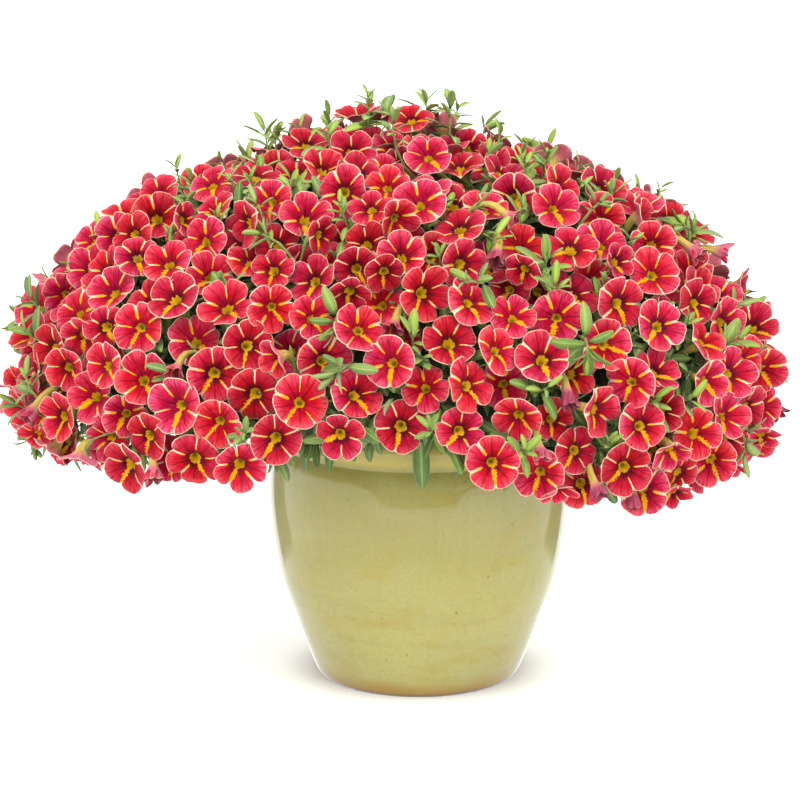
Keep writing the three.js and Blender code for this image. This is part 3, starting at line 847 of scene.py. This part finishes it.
def shoots():
    """Leafy shoot tips: a bent stem with leaves up its end on a golden-angle spiral, smallest at the top."""
    direction, proud = shoot_places()
    k = TIP.first + 40 * np.arange(len(direction))
    root, knee, tip, found = clear_way(k, direction, proud)
    direction, proud, k, root, knee, tip = (x[found] for x in (direction, proud, k, root, knee, tip))
    stems = Named(
        direction=direction, points=stem_corners(root, knee, tip, SHOOT_STEM),
        tone=beside(noise(k, 8), 0.5 + 0.3 * noise(k, 9), 1.0),
    )
    # painted light: leaves on the mound's top, and on shoots that stand further out, are made a brighter
    # lime, as where more light falls
    light = 0.012 * proud + 0.55 * ease(direction[:, 2], 0.3, 0.9)
    leaves = []
    for i in range(TIP.leaves):
        share = i / (TIP.leaves - 1)
        at, forward = along_bend(root, knee, tip, [0.58 + 0.42 * share**0.8])
        at, forward = at[:, 0], forward[:, 0]
        u, v = across_of(forward)
        angle = (i * GOLDEN + TAU * noise(k, 10) + 0.9 * noise(k + i, 15))[:, None]
        out = turned_to(u, v, angle)
        rise = (0.2 + 1.6 * share**1.6) * (0.5 + noise(k + i, 20))[:, None]
        length = (20 - 8 * share) * (0.75 + 0.45 * noise(k, 14)) * (0.65 + 0.6 * noise(k + i, 40))
        along = unit(out + forward * rise + 0.5 * shift(k + i, 16))
        way = along * length[:, None]
        blocked = crossings(at, at + way, blooms, 0.95).any(1)
        for part in (0.25, 0.5, 0.75, 1.0):
            blocked |= in_front_of_blooms(at + way * part, -3.5, 3.5) | near_tube(at + way * part)
        # how lime each leaf is: younger towards the shoot's tip, at random, and with the painted light above
        fresh_and_lit = 0.03 + 0.45 * share + (0.25 + 0.6 * share) * (noise(k, 19) - 0.4)
        fresh_and_lit = np.clip(fresh_and_lit + 0.2 * (noise(k + i, 21) - 0.5) + light, 0, 1)
        made = Named(
            direction=direction, foot=at, along=along, face=unit(forward - 0.3 * out + 0.3 * v),
            length=length, width=length * (0.35 - 0.04 * share),
            curl=0.05 + 0.45 * noise(k + i, 60) * (1 - 0.5 * share), fold=0.15 + 0.35 * noise(k + i, 80),
            tone=beside(noise(k + i, 98), fresh_and_lit, 0.0),
        )
        leaves.append(chosen(made, ~blocked))
    return stems, joined(*leaves)


def rim_leaves():
    """Leaves that hang over the pot's rim from the crown's underside, the CAD's and two shorter layers."""
    layers = []
    for layer, (count, length, out, drop) in enumerate(RIM_LAYERS):
        index = np.arange(count) + 500 * layer
        ray = circle((np.arange(count) + 0.6 * noise(index, 40)) / count * TAU)
        length = length * (0.8 + 0.35 * noise(index, 41))
        start = POT.height + RIM_LEAF.above + drop
        foot = ray * (CROWN.lip - RIM_LEAF.inset + out) + start * UP
        tip = ray * (CROWN.lip + RIM_LEAF.splay + out) + (start - length)[:, None] * UP
        side = np.cross(ray, UP) * (8 * (noise(index, 42) - 0.5))[:, None]
        layers.append(Named(
            direction=ray, foot=foot, along=unit(tip + side - foot), face=ray, length=length,
            width=length * (0.24 + 0.06 * noise(index, 43)), curl=0.05 + 0.2 * noise(index, 44),
            fold=0.15 + 0.3 * noise(index, 45),
            tone=beside(0.5 * noise(index, 46), 0.2 * noise(index, 47), 0.0),
        ))
    return joined(*layers)


def underside_leaves():
    """Leaves on the crown's underside, between the lowest flowers and the pot's rim."""
    n = UNDERSIDE.leaves
    azimuth = rng.random(n) * TAU
    ray = circle(azimuth)
    hem = mound_at(direction_at(azimuth, droop_at(azimuth)), CROWN.depth * UNDERSIDE.hem)[1]
    lip = ray * CROWN.lip + (POT.height + UNDERSIDE.lip) * UP
    foot = hem + (lip - hem) * rng.random((n, 1))
    along = unit(ray * 0.7 - 0.5 * UP + 0.6 * rng.normal(size=(n, 3)))
    length = 13 + 7 * rng.random(n)
    face = unit(ray + 0.5 * UP + 0.4 * rng.normal(size=(n, 3)))
    return Named(
        direction=ray, foot=foot, along=along, face=face, length=length, width=length * 0.3,
        curl=0.3 * rng.random(n), fold=0.2 + 0.2 * rng.random(n),
        tone=beside(rng.random(n), 0.15 * rng.random(n), 0.0),
    )


# ---- shaders ----


def linear(code):
    """The linear colour of a surface that shows as a hexadecimal sRGB code in the studio's full light."""
    parts = [int(code[i:i + 2], 16) / 255 for i in (1, 3, 5)]
    shown = [x / 12.92 if x <= 0.04045 else ((x + 0.055) / 1.055) ** 2.4 for x in parts]
    return (*(x / GLARE for x in shown), 1.0)


def joining(operation, swapped=False):
    """A method that works out a new number from one and others by a Math node."""

    def method(self, *others):
        values = (self, *others)
        return self.paint.math(operation, *(values[::-1] if swapped else values))

    return method


class Number:
    """A number or colour that varies over a surface, worked out by nodes."""

    def __init__(self, paint, socket):
        self.paint, self.socket = paint, socket

    __add__ = __radd__ = joining("ADD")
    __mul__ = __rmul__ = joining("MULTIPLY")
    __sub__ = joining("SUBTRACT")
    __rsub__ = joining("SUBTRACT", swapped=True)
    __pow__ = joining("POWER")
    __abs__ = joining("ABSOLUTE")
    fraction = joining("FRACT")
    least = joining("MINIMUM")
    most = joining("MAXIMUM")

    def between(self, low, high):
        """0 at low, 1 at high and a smooth step between, where high may be less than low."""
        node = self.paint.node("MapRange", self, low, high, interpolation_type="SMOOTHSTEP")
        return Number(self.paint, node.outputs[0])


class Paint:
    """The nodes of a material or world, and short ways to make those of its pattern."""

    def __init__(self, owner, shader="Principled BSDF"):
        owner.use_nodes = True
        self.owner = owner
        self.nodes, self.links = owner.node_tree.nodes, owner.node_tree.links
        self.shader = self.nodes[shader]

    def feed(self, socket, value):
        """Link a varying number to a socket, or set a plain one or a colour code on it."""
        if isinstance(value, Number):
            self.links.new(value.socket, socket)
        else:
            socket.default_value = linear(value) if isinstance(value, str) else value

    def node(self, kind, *values, **settings):
        """A node with its settings, and its first sockets fed with values."""
        node = self.nodes.new("ShaderNode" + kind)
        for name, value in settings.items():
            setattr(node, name, value)
        for socket, value in zip(node.inputs, values):
            self.feed(socket, value)
        return node

    def math(self, operation, *values):
        return Number(self, self.node("Math", *values, operation=operation).outputs[0])

    def split(self, node, output):
        """The three parts of a node's vector."""
        parts = self.node("SeparateXYZ", Number(self, node.outputs[output])).outputs
        return [Number(self, part) for part in parts]

    def surface(self):
        """Where on a shell's pattern, as its place says."""
        return self.split(self.node("UVMap", uv_map="surface"), "UV")[:2]

    def tone(self):
        return self.split(self.node("Attribute", attribute_name="tone"), "Vector")

    def position(self):
        """The place on the object in millimetres."""
        return [part * 1000 for part in self.split(self.node("NewGeometry"), "Position")]

    def noise(self, x, y, z, scale=1.0, detail=2.0, roughness=0.5):
        place = Number(self, self.node("CombineXYZ", x, y, z).outputs[0])
        return Number(self, self.node("TexNoise", place, 0.0, scale, detail, roughness).outputs[0])

    def mix(self, share, a, b):
        """Colour b over colour a by a share."""
        node = self.node("Mix", share, data_type="RGBA")
        self.feed(node.inputs[6], a)
        self.feed(node.inputs[7], b)
        return Number(self, node.outputs[2])

    def coated(self, colour, *coats):
        """A colour under coats, each a share and a colour."""
        for share, coat in coats:
            colour = self.mix(share, colour, coat)
        return colour

    def set(self, **values):
        for name, value in values.items():
            self.feed(self.shader.inputs[name.replace("_", " ")], value)

    def finish(self, colour, roughness, relief, distance, strength=1.0, **gloss):
        """The material with this colour, gloss and relief, whose bumps are of a distance in millimetres."""
        self.set(Base_Color=colour, Roughness=roughness, **gloss)
        node = self.node("Bump")
        for name, value in (("Height", relief), ("Distance", distance * MM), ("Strength", strength)):
            self.feed(node.inputs[name], value)
        self.links.new(node.outputs[0], self.shader.inputs["Normal"])
        return self.owner


def material(name):
    return Paint(bpy.data.materials.new(name))


def petals():
    """Crimson lobes, paler and veined towards a cream margin, where the paler limb is partly painted light,
    with five golden stripes on the seams, one of them a broad ragged beard, and a small golden throat, with
    painted shade on its side away from the beard and, in part, deep down, in a dark ring that is partly the
    bloom's own dark eye and partly painted shade of the funnel."""
    p = material("petals")
    seam, mark = p.surface()
    hue, shade, age = p.tone()
    seed = hue * 37 + shade * 91
    across = seam.fraction()
    nearest = across.least(1 - across)
    off_seam = nearest * (TAU / LOBES) * mark
    fringe = p.noise(seam * 22, mark * 16, seed, detail=3) - 0.5
    tufts = p.noise(seam * 10, mark * 15, seed + 5, detail=3) - 0.5
    streak = p.noise(seam * 18, mark * 1.6, seed, detail=3, roughness=0.6)
    blotch = p.noise(seam * 2.6, mark * 4, seed)
    lumps = p.noise(seam * 2.3, seed, 2.0, detail=0) - 0.5

    lobe = p.noise((seam - across) * 7.31, seed, 0.5, detail=0)
    pinkness = (hue * 0.55 + lobe.between(0.3, 0.7) * 0.45).least(1.0)
    # painted light: the limb is lighter towards the rim, where the curved-back lobes catch the light; the
    # pale blotches are random colour
    rim_light_and_blotch = (mark.between(0.42, 0.95) * 0.5 + blotch.between(0.4, 0.75) * 0.4).least(1.0)
    veins = abs(p.noise(seam * 9, mark * 1.1, seed, detail=2) - 0.5).between(0.04, 0.008)
    veins = veins * mark.between(1.0, 0.6)
    rib = (abs(across - 0.5) * mark).between(0.034, 0.008) * mark.between(0.97, 0.7)
    # darker towards the throat: partly the bloom's own dark eye, partly painted shade in the funnel; its
    # strength differs at random from bloom to bloom
    eye_and_funnel_shade = (mark + fringe * 0.2).between(0.56, 0.24) * (0.5 + 0.5 * streak.between(0.35, 0.6))
    limb = p.coated(
        p.mix(pinkness, "#d10218", "#c10038"),
        (rim_light_and_blotch, p.mix(pinkness, "#f6404a", "#ec4070")),
        (mark.between(0.62, 1.0) * streak.between(0.6, 0.4) * 0.5, p.mix(pinkness, "#f87d74", "#f6889d")),
        (shade.between(0.45, 1.0) * 0.45, "#a00017"),
        (streak.between(0.5, 0.66) * 0.5, "#a8001c"),
        (veins * 0.42, "#5c0010"),
        (rib * 0.5, "#5a0012"),
        (eye_and_funnel_shade * (0.3 + 0.65 * shade.between(0.1, 0.7)), p.mix(pinkness, "#3d0709", "#3a0421")),
    )

    # a stripe on each seam: where it starts and how bold it is differ from seam to seam
    this_seam = (seam + 0.5 - (seam + 0.5).fraction()) * 5.3
    start = 0.23 + 0.22 * p.noise(this_seam, seed, 1.5, detail=0)
    bold = 0.022 + 0.038 * p.noise(this_seam, seed, 4.5, detail=0).between(0.3, 0.7) * shade.between(1.3, 0.2)
    width = bold * (0.4 + 0.6 * (mark - start).between(0.0, 0.12))
    width = width + 0.045 * mark.between(0.84, 1.0)
    stripe = (off_seam + tufts * 0.05).between(width + 0.01, width - 0.008)
    stripe = stripe * (mark - start + tufts * 0.16).between(-0.01, 0.03)
    cream = (mark + 0.25 * shade).between(0.55, 0.95)
    # the beard is on the seam opposite seam 0
    broad = 0.02 + (0.038 + 0.052 * hue) * mark.between(0.14, 0.32) * mark.between(0.97, 0.45)
    beard = (off_seam + tufts * 0.26 * mark.between(1.0, 0.8)).between(broad + 0.012, broad - 0.012)
    beard = beard * mark.between(0.15, 0.19) * abs(seam - 2.5).between(1.999, 2.0)
    speckle = p.noise(seam * 26, mark * 24, seed + 9).between(0.55, 0.64)
    bearded = p.mix(speckle * 0.6, p.mix(mark.between(0.98, 0.78), "#f8dba6", "#f9b30a"), "#d2500f")
    margin = (mark + fringe * 0.016).between(0.955, 0.978) * (0.58 + 0.37 * blotch.between(0.3, 0.6))
    limb = p.coated(
        limb,
        (stripe, p.mix(cream, "#f6b012", "#fce3b8")),
        (beard, bearded),
        (margin, p.mix(lobe.between(0.35, 0.65), "#f7b8a0", "#fbdfbe")),
    )

    lip = 0.185 + 0.03 * shade - 0.03 * nearest + lumps * 0.1
    throat = p.coated(
        "#f6bd0c",
        (streak.between(0.4, 0.6) * 0.5, "#d2980a"),
        # painted shade: the throat's side away from the beard, which hangs lowest, is olive as if in shadow
        (abs(seam - 2.5).between(1.5, 0.6) * 0.3, "#b8940f"),
        # olive deep in the throat: partly the tube's greener colour, partly painted shade
        (mark.between(0.13, 0.05), "#958013"),
    )
    front = p.mix((mark - lip).between(0.014, -0.014), limb, throat)

    tube = p.coated(
        "#e4c866", (streak.between(0.48, 0.6), "#ab8944"), (mark.between(2.4, 3.0), "#b3bd62"))
    back = p.coated(
        p.mix(hue, "#ee8088", "#e67c94"),
        (streak.between(0.45, 0.62) * 0.45, "#c04560"),
        (off_seam.between(0.05, 0.02) * 0.6, "#efbb93"),
        (mark.between(1.06, 1.02), "#f3c6ae"),
        (mark.between(1.5, 1.85), tube),
    )
    faded = p.mix(streak.between(0.35, 0.65), "#85284a", p.mix(hue, "#cc5a70", "#b9586e"))
    whole = p.coated(front, (mark.between(1.0, 1.012), back), (age * mark.between(1.75, 1.45), faded))
    relief = streak * mark.between(3.0, 0.2) - rib * 0.5 - veins * 0.3
    return p.finish(
        whole, 0.55 + 0.2 * blotch, relief, 0.4, 0.6, Sheen_Weight=0.03, Sheen_Roughness=0.4,
        Specular_IOR_Level=0.05)


def foliage():
    """Leaves from grey-green to bright lime at the tips, the lime partly painted light that is stronger on
    the mound's top, with a sunk midrib and pale edges, and stems.
    """
    p = material("foliage")
    side, along = p.surface()
    hue, young_and_lit, stem = p.tone()
    back = along.between(1.5, 1.6) * along.between(3.5, 3.4)
    way = along - 2 * back
    out = abs(side)
    mottle = p.noise(side * 2.5, way * 6, hue * 53 + young_and_lit * 29, detail=3)
    nerve = abs((way * 9 - out * 2.2).fraction() - 0.5).between(0.12, 0.02)
    nerve = nerve * out.between(0.1, 0.3) * out.between(0.95, 0.7)
    stalk = p.mix(mottle, p.mix(young_and_lit, "#6f8f3c", "#a7bf5f"), "#8aa052")
    whole = p.coated(
        p.mix(young_and_lit, p.mix(hue, "#557c30", "#8dac52"), p.mix(hue, "#86b81a", "#bcd63c")),
        (mottle.between(0.35, 0.7) * 0.4, p.mix(young_and_lit, "#87a562", "#bcd950")),
        (nerve * 0.25, "#a6be74"),
        (out.between(0.15, 0.04) * 0.65, "#bdd086"),
        (back * 0.45, "#a1b67a"),
        (out.between(0.82, 0.96) * 0.55, "#cddc98"),
        (stem, stalk),
    )
    relief = mottle * 0.4 + out.between(0.0, 0.25) + nerve * 0.3
    return p.finish(
        whole, 0.5 + 0.2 * mottle, relief, 0.4, 0.6, Sheen_Weight=0.08, Sheen_Roughness=0.5,
        Specular_IOR_Level=0.4)


def painted_shade_core():
    """A dark solid in the middle of the mound: painted shade that stands for the shaded tangle of old stems
    and leaves there.
    """
    p = material("painted_shade_core")
    x, y, z = p.position()
    patch = p.noise(x, y, z, scale=0.09, detail=4, roughness=0.6)
    fine = p.noise(x, y, z, scale=0.45, detail=3)
    # painted shade: near-black greens that stand for the shade deep in the mound
    colour = p.mix(patch.between(0.35, 0.65), p.mix(fine, "#1e2e15", "#364b22"), "#4c6634")
    return p.finish(colour, 0.85, fine + patch, 2.0)


def glaze():
    """Yellow-green glaze over stoneware: cloudy, banded, specked, and golden where it thins at the foot."""
    p = material("glaze")
    x, y, z = p.position()
    cloud = p.noise(x, y, z * 1.6, scale=0.016, detail=4, roughness=0.55)
    drift = p.noise(x, y, z * 2.2, scale=0.034, detail=3)
    band = p.noise(x * 0.06, y * 0.06, z, scale=0.09, detail=3)
    grain = p.noise(x, y, z, scale=0.55, detail=3, roughness=0.7)
    speck = p.noise(x, y, z, scale=0.33, detail=1).between(0.73, 0.78)
    streak = p.noise(x, y, z * 0.06, scale=0.22, detail=2)
    body = p.coated(
        p.mix(z.between(20, 150), "#c3bc6c", "#b0a85a"),
        (cloud.between(0.4, 0.66) * 0.7, "#bfb870"),
        (drift.between(0.5, 0.72) * 0.5, "#bfa840"),
        (band.between(0.5, 0.7) * 0.15, "#9a9346"),
        (streak.between(0.5, 0.7) * 0.09, "#8f8b40"),
        (grain.between(0.45, 0.75) * 0.28, "#8a853c"),
        (speck * 0.6, "#957a2c"),
        # brighter yellow from the underside of the rim's roll up: partly glaze thinning over the roll, partly
        # painted highlight
        (z.between(151, 154) * 0.5, "#d2b94e"),
        ((z + drift * 14).between(21, 8), "#b8902a"),
        (z.between(3.2, 1.2), "#957448"),
    )
    return p.finish(
        body, 0.3 + 0.08 * grain, drift * 0.8 + grain * 0.06, 1.2, 0.35, Specular_IOR_Level=0.15,
        Coat_Weight=0.85, Coat_Roughness=0.05, Coat_IOR=1.5)


def compost():
    """Potting mix: dark peat and bark with pale crumbs of perlite."""
    p = material("potting_mix")
    x, y, z = p.position()
    clod = p.noise(x, y, z, scale=0.18, detail=5, roughness=0.7)
    fibre = p.noise(x, y * 0.3, z, scale=0.6, detail=2)
    perlite = p.noise(x, y, z, scale=0.35, detail=0).between(0.74, 0.77)
    body = p.coated(
        "#21160e", (clod.between(0.35, 0.65), "#4a3524"), (fibre.between(0.6, 0.75) * 0.5, "#6f5438"),
        (perlite, "#d8d3c6"))
    return p.finish(body, 0.92, clod + perlite * 0.4, 1.5)


# ---- pot and potting mix ----


def spline(points, steps):
    """A Catmull-Rom curve through points, as the CAD draws the pot's outline."""
    p = np.array([points[0], *points, points[-1]], float)
    t = np.arange(steps)[:, None] / steps
    curve = []
    for a, b, c, d in zip(p, p[1:], p[2:], p[3:]):
        v0, v1 = (c - a) / 2, (d - b) / 2
        curve.append((2 * b - 2 * c + v0 + v1) * t**3 + (-3 * b + 3 * c - 2 * v0 - v1) * t**2 + v0 * t + b)
    return np.concatenate([*curve, p[-1:]])


def turned(outline, columns, wobble=0.0):
    """A body turned from its outline, which starts and ends on the axis."""
    radius, height = outline[1:-1, :1], outline[1:-1, 1:]
    shell = pattern([columns] * len(radius))
    angle = np.arange(columns) / columns * TAU
    drift = 0.001 * np.sin(2 * angle + 0.4) + 0.0007 * np.sin(3 * angle + height / 30)
    far = radius * (1 + wobble * drift)
    rings = beside(far * np.cos(angle), far * np.sin(angle), height).reshape(-1, 3)
    points = np.concatenate([[outline[0, 1] * UP], rings, [outline[-1, 1] * UP]])
    run = np.append(0, np.cumsum(np.linalg.norm(np.diff(outline, axis=0), axis=1)))
    shell.place = shell.cell = beside(shell.column / columns, run[shell.ring + 1] / run[-1])
    body = Shells()
    body.add(shell, points[None])
    return body


def make_pot():
    outside = spline(OUTSIDE, SPAN.outside)
    outside[:, 1] = np.maximum(outside[:, 1], 0)
    turn = np.linspace(ROLL.start, ROLL.end, ROLL.steps)
    roll = beside(POT.rim - ROLL.out + ROLL.out * np.cos(turn), POT.height - ROLL.up + ROLL.up * np.sin(turn))
    inside = spline(INSIDE, SPAN.inside)[::-1]
    below, within = [(0, 0), (POT.flat, 0)], [(POT.hollow, POT.floor), (0, POT.floor)]
    outline = np.concatenate([below, outside, roll, [UNDER_RIM], inside, within])
    turned(outline, POT.columns, wobble=1.0).piece("glazed_pot", glaze(), "glaze", "pot")


def make_potting_mix():
    """The domed top is crumbly; the rest is hidden by the pot."""
    r = np.linspace(3, SOIL.edge, SOIL.rings)
    dome = beside(r, SOIL.top + SOIL.crown * (1 - ease(r, SOIL.brow, SOIL.edge)))
    outline = np.concatenate([[(0, SOIL.top + SOIL.crown)], dome, SOIL_SIDE])[::-1]
    body = turned(outline, SOIL.columns)
    me = body.piece("crumbly_potting_mix", compost(), "potting_mix", "potting_mix").data
    co = np.zeros(len(me.vertices) * 3)
    me.vertices.foreach_get("co", co)
    co = co.reshape(-1, 3)
    top = co[:, 2] > (SOIL.top - 1) * MM
    crumbs = SOIL.crumbs * (rng.random(len(co)) - 0.45)
    co[top, 2] += crumbs[top] * MM
    me.vertices.foreach_set("co", co.ravel())
    me.update()


# ---- the plant's pieces ----


def in_sector(direction, sector):
    turn = np.arctan2(direction[:, 1], direction[:, 0]) / TAU % 1
    return (turn * SHADE_CORE.sectors).astype(int) == sector


def shade_core_sector(sector):
    """One wedge of the mound's dark middle, a solid painted as shade, closed along the crown's axis."""
    steps = np.linspace(sector, sector + 1, SHADE_CORE.steps + 1) / SHADE_CORE.sectors * TAU
    key = (np.round(steps * 1000).astype(int) % int(TAU * 1000)) * 37  # the same on both sides of a joint
    rings = []
    for ring in range(1, SHADE_CORE.levels + 1):
        direction = direction_at(steps, droop_at(steps) * ring / SHADE_CORE.levels)
        depth = CROWN.depth + SHADE_CORE.depth + SHADE_CORE.rough * noise(key + ring * 7919, 50)
        rings.append(mound_at(direction, depth)[1])
    for radius, height in (
        (CROWN.lip, POT.height + 3.0), (CROWN.mouth, POT.height + 8.0),
        (CROWN.collar, CROWN.shoulder), (CROWN.collar, CROWN.foot),
    ):
        rings.append(circle(steps) * radius + height * UP)
    top = mound_at(UP[None], CROWN.depth + SHADE_CORE.depth)[1][0]
    foot = CROWN.foot * UP
    closed = [[top]]
    for i, ring in enumerate(rings, 1):
        closed += [ring, [foot + (top - foot) * (1 - i / len(rings))]]
    closed.append([(CROWN.foot - 1) * UP])
    shell = pattern([SHADE_CORE.steps + 2] * len(rings))
    return shell, np.concatenate(closed)


def make_crown(green):
    """The mound's middle, a solid painted dark as shade, in wedges, each dressed with the shoots, rim leaves
    and low leaves on it.
    """
    stems, shoot_leaves = shoots()
    dressing = joined(shoot_leaves, rim_leaves(), underside_leaves())
    # painted shade: the dark material of the mound's solid middle
    dark = painted_shade_core()
    for sector in range(SHADE_CORE.sectors):
        own = chosen(stems, in_sector(stems.direction, sector))
        leaves = chosen(dressing, in_sector(dressing.direction, sector))
        shells, inner = Shells(), Shells()
        shells.add(STEM_SHELL, own.points, own.tone, 0.5)
        shells.add(LEAF_SHELL, leaves_of(leaves), leaves.tone)
        shells.piece(f"crown_shoots_{sector + 1}", green, "foliage", "leafy_crown")
        shell, points = shade_core_sector(sector)
        inner.add(shell, points[None])
        inner.piece(f"crown_shade_core_{sector + 1}", dark, "foliage", "leafy_crown")


def make_sprays(green, red):
    """For each of the CAD's sprays, its blooms, and its stems, calyces and leaves."""
    leaves = filler_leaves()
    owner = nearest_stem(leaves.direction, sprays.stem)
    for s in range(len(sprays.stem)):
        name = f"spray_{s + 1:02d}"
        mine = chosen(blooms, blooms.spray == s)
        own = chosen(leaves, owner == s)
        stem = chosen(sprays, [s])
        petal_shells, green_shells = Shells(), Shells()
        petal_shells.add(BLOOM_SHELL, bloom_corners(mine), mine.tone)
        add_calyx_and_stalk(green_shells, mine)
        knee = (stem.joint + stem.root) / 2 + SPRAY_STEM.bend * shift([s], 1)
        points = stem_corners(stem.root, knee, stem.joint + stem.normal * SPRAY_STEM.past, SPRAY_STEM)
        green_shells.add(STEM_SHELL, points, (0.4, 0.2, 1.0), 0.5)
        green_shells.add(LEAF_SHELL, leaves_of(own), own.tone)
        petal_shells.piece(f"blooms_{s + 1:02d}", red, "petals", name)
        green_shells.piece(f"greens_{s + 1:02d}", green, "foliage")


# ---- stage ----


def soft_box(name, place, aim, size, power):
    light = bpy.data.lights.new(name, "AREA")
    light.shape = "RECTANGLE"
    light.size, light.size_y = size
    light.energy = power
    obj = bpy.data.objects.new(name, light)
    bpy.context.scene.collection.objects.link(obj)
    obj.location = place
    obj.rotation_euler = (Vector(aim) - Vector(place)).to_track_quat("-Z", "Y").to_euler()


def make_studio():
    """White light all round. The glaze also mirrors a dark room in front, a dark gap on each side of the
    backdrop, and the pot's own shade below."""
    world = bpy.data.worlds.new("studio")
    bpy.context.scene.world = world
    p = Paint(world, "Background")
    x, y, z = p.split(p.node("TexCoord"), "Generated")
    room = (abs(x) - 1.2 * z).between(0.65, 0.59) * z.between(-0.16, -0.12) * z.between(0.7, 0.5)
    room = room * y.between(-0.3, -0.4)
    gap = abs(x).between(0.50, 0.55) * abs(x).between(0.84, 0.79) * y.between(0.2, 0.3)
    gap = gap * z.between(-0.42, -0.36) * z.between(0.6, 0.4) * 0.92
    shade = z.between(-0.3, -0.5) * 0.4
    mirrored = Number(p, p.node("LightPath").outputs["Is Glossy Ray"])
    p.set(Color=(1, 1, 1, 1), Strength=GLARE * (1 - mirrored * room.most(gap).most(shade) * 0.95))
    soft_box("key", (-0.35, -1.2, 2.3), (0, 0, 0.25), (1.0, 1.0), 46)
    soft_box("fill", (1.4, -1.6, 0.9), (0, 0, 0.2), (0.9, 1.2), 8)


def make_stage():
    """The white floor, the studio and the camera of the photo."""
    bpy.ops.mesh.primitive_circle_add(vertices=96, radius=FLOOR.radius, fill_type="NGON", location=(0, 0, 0))
    floor = bpy.context.object
    floor.name = "floor"
    paint = material("floor")
    x, y, _ = paint.position()
    # painted light: the floor glows beyond the contact shadow, lifting the plant's shadow there
    glow = FLOOR.glow * ((x * x + y * y) ** 0.5).between(FLOOR.shade, FLOOR.bright)
    paint.set(Base_Color=(0.96, 0.96, 0.96, 1.0), Roughness=0.7)
    paint.set(Emission_Color=(1, 1, 1, 1), Emission_Strength=glow)
    floor.data.materials.append(paint.owner)
    floor.visible_glossy = False  # the glaze mirrors the studio's light in its place
    make_studio()
    camera = bpy.data.objects.new("camera", bpy.data.cameras.new("camera"))
    bpy.context.scene.collection.objects.link(camera)
    camera.location = CAMERA.place
    camera.rotation_euler = (math.radians(CAMERA.tilt), 0, 0)
    camera.data.sensor_width = CAMERA.sensor
    camera.data.lens = CAMERA.lens
    bpy.context.scene.camera = camera
    bpy.context.scene.view_settings.view_transform = "Standard"


make_pot()
make_potting_mix()
leaf_green, petal_red = foliage(), petals()
make_crown(leaf_green)
make_sprays(leaf_green, petal_red)
make_stage()
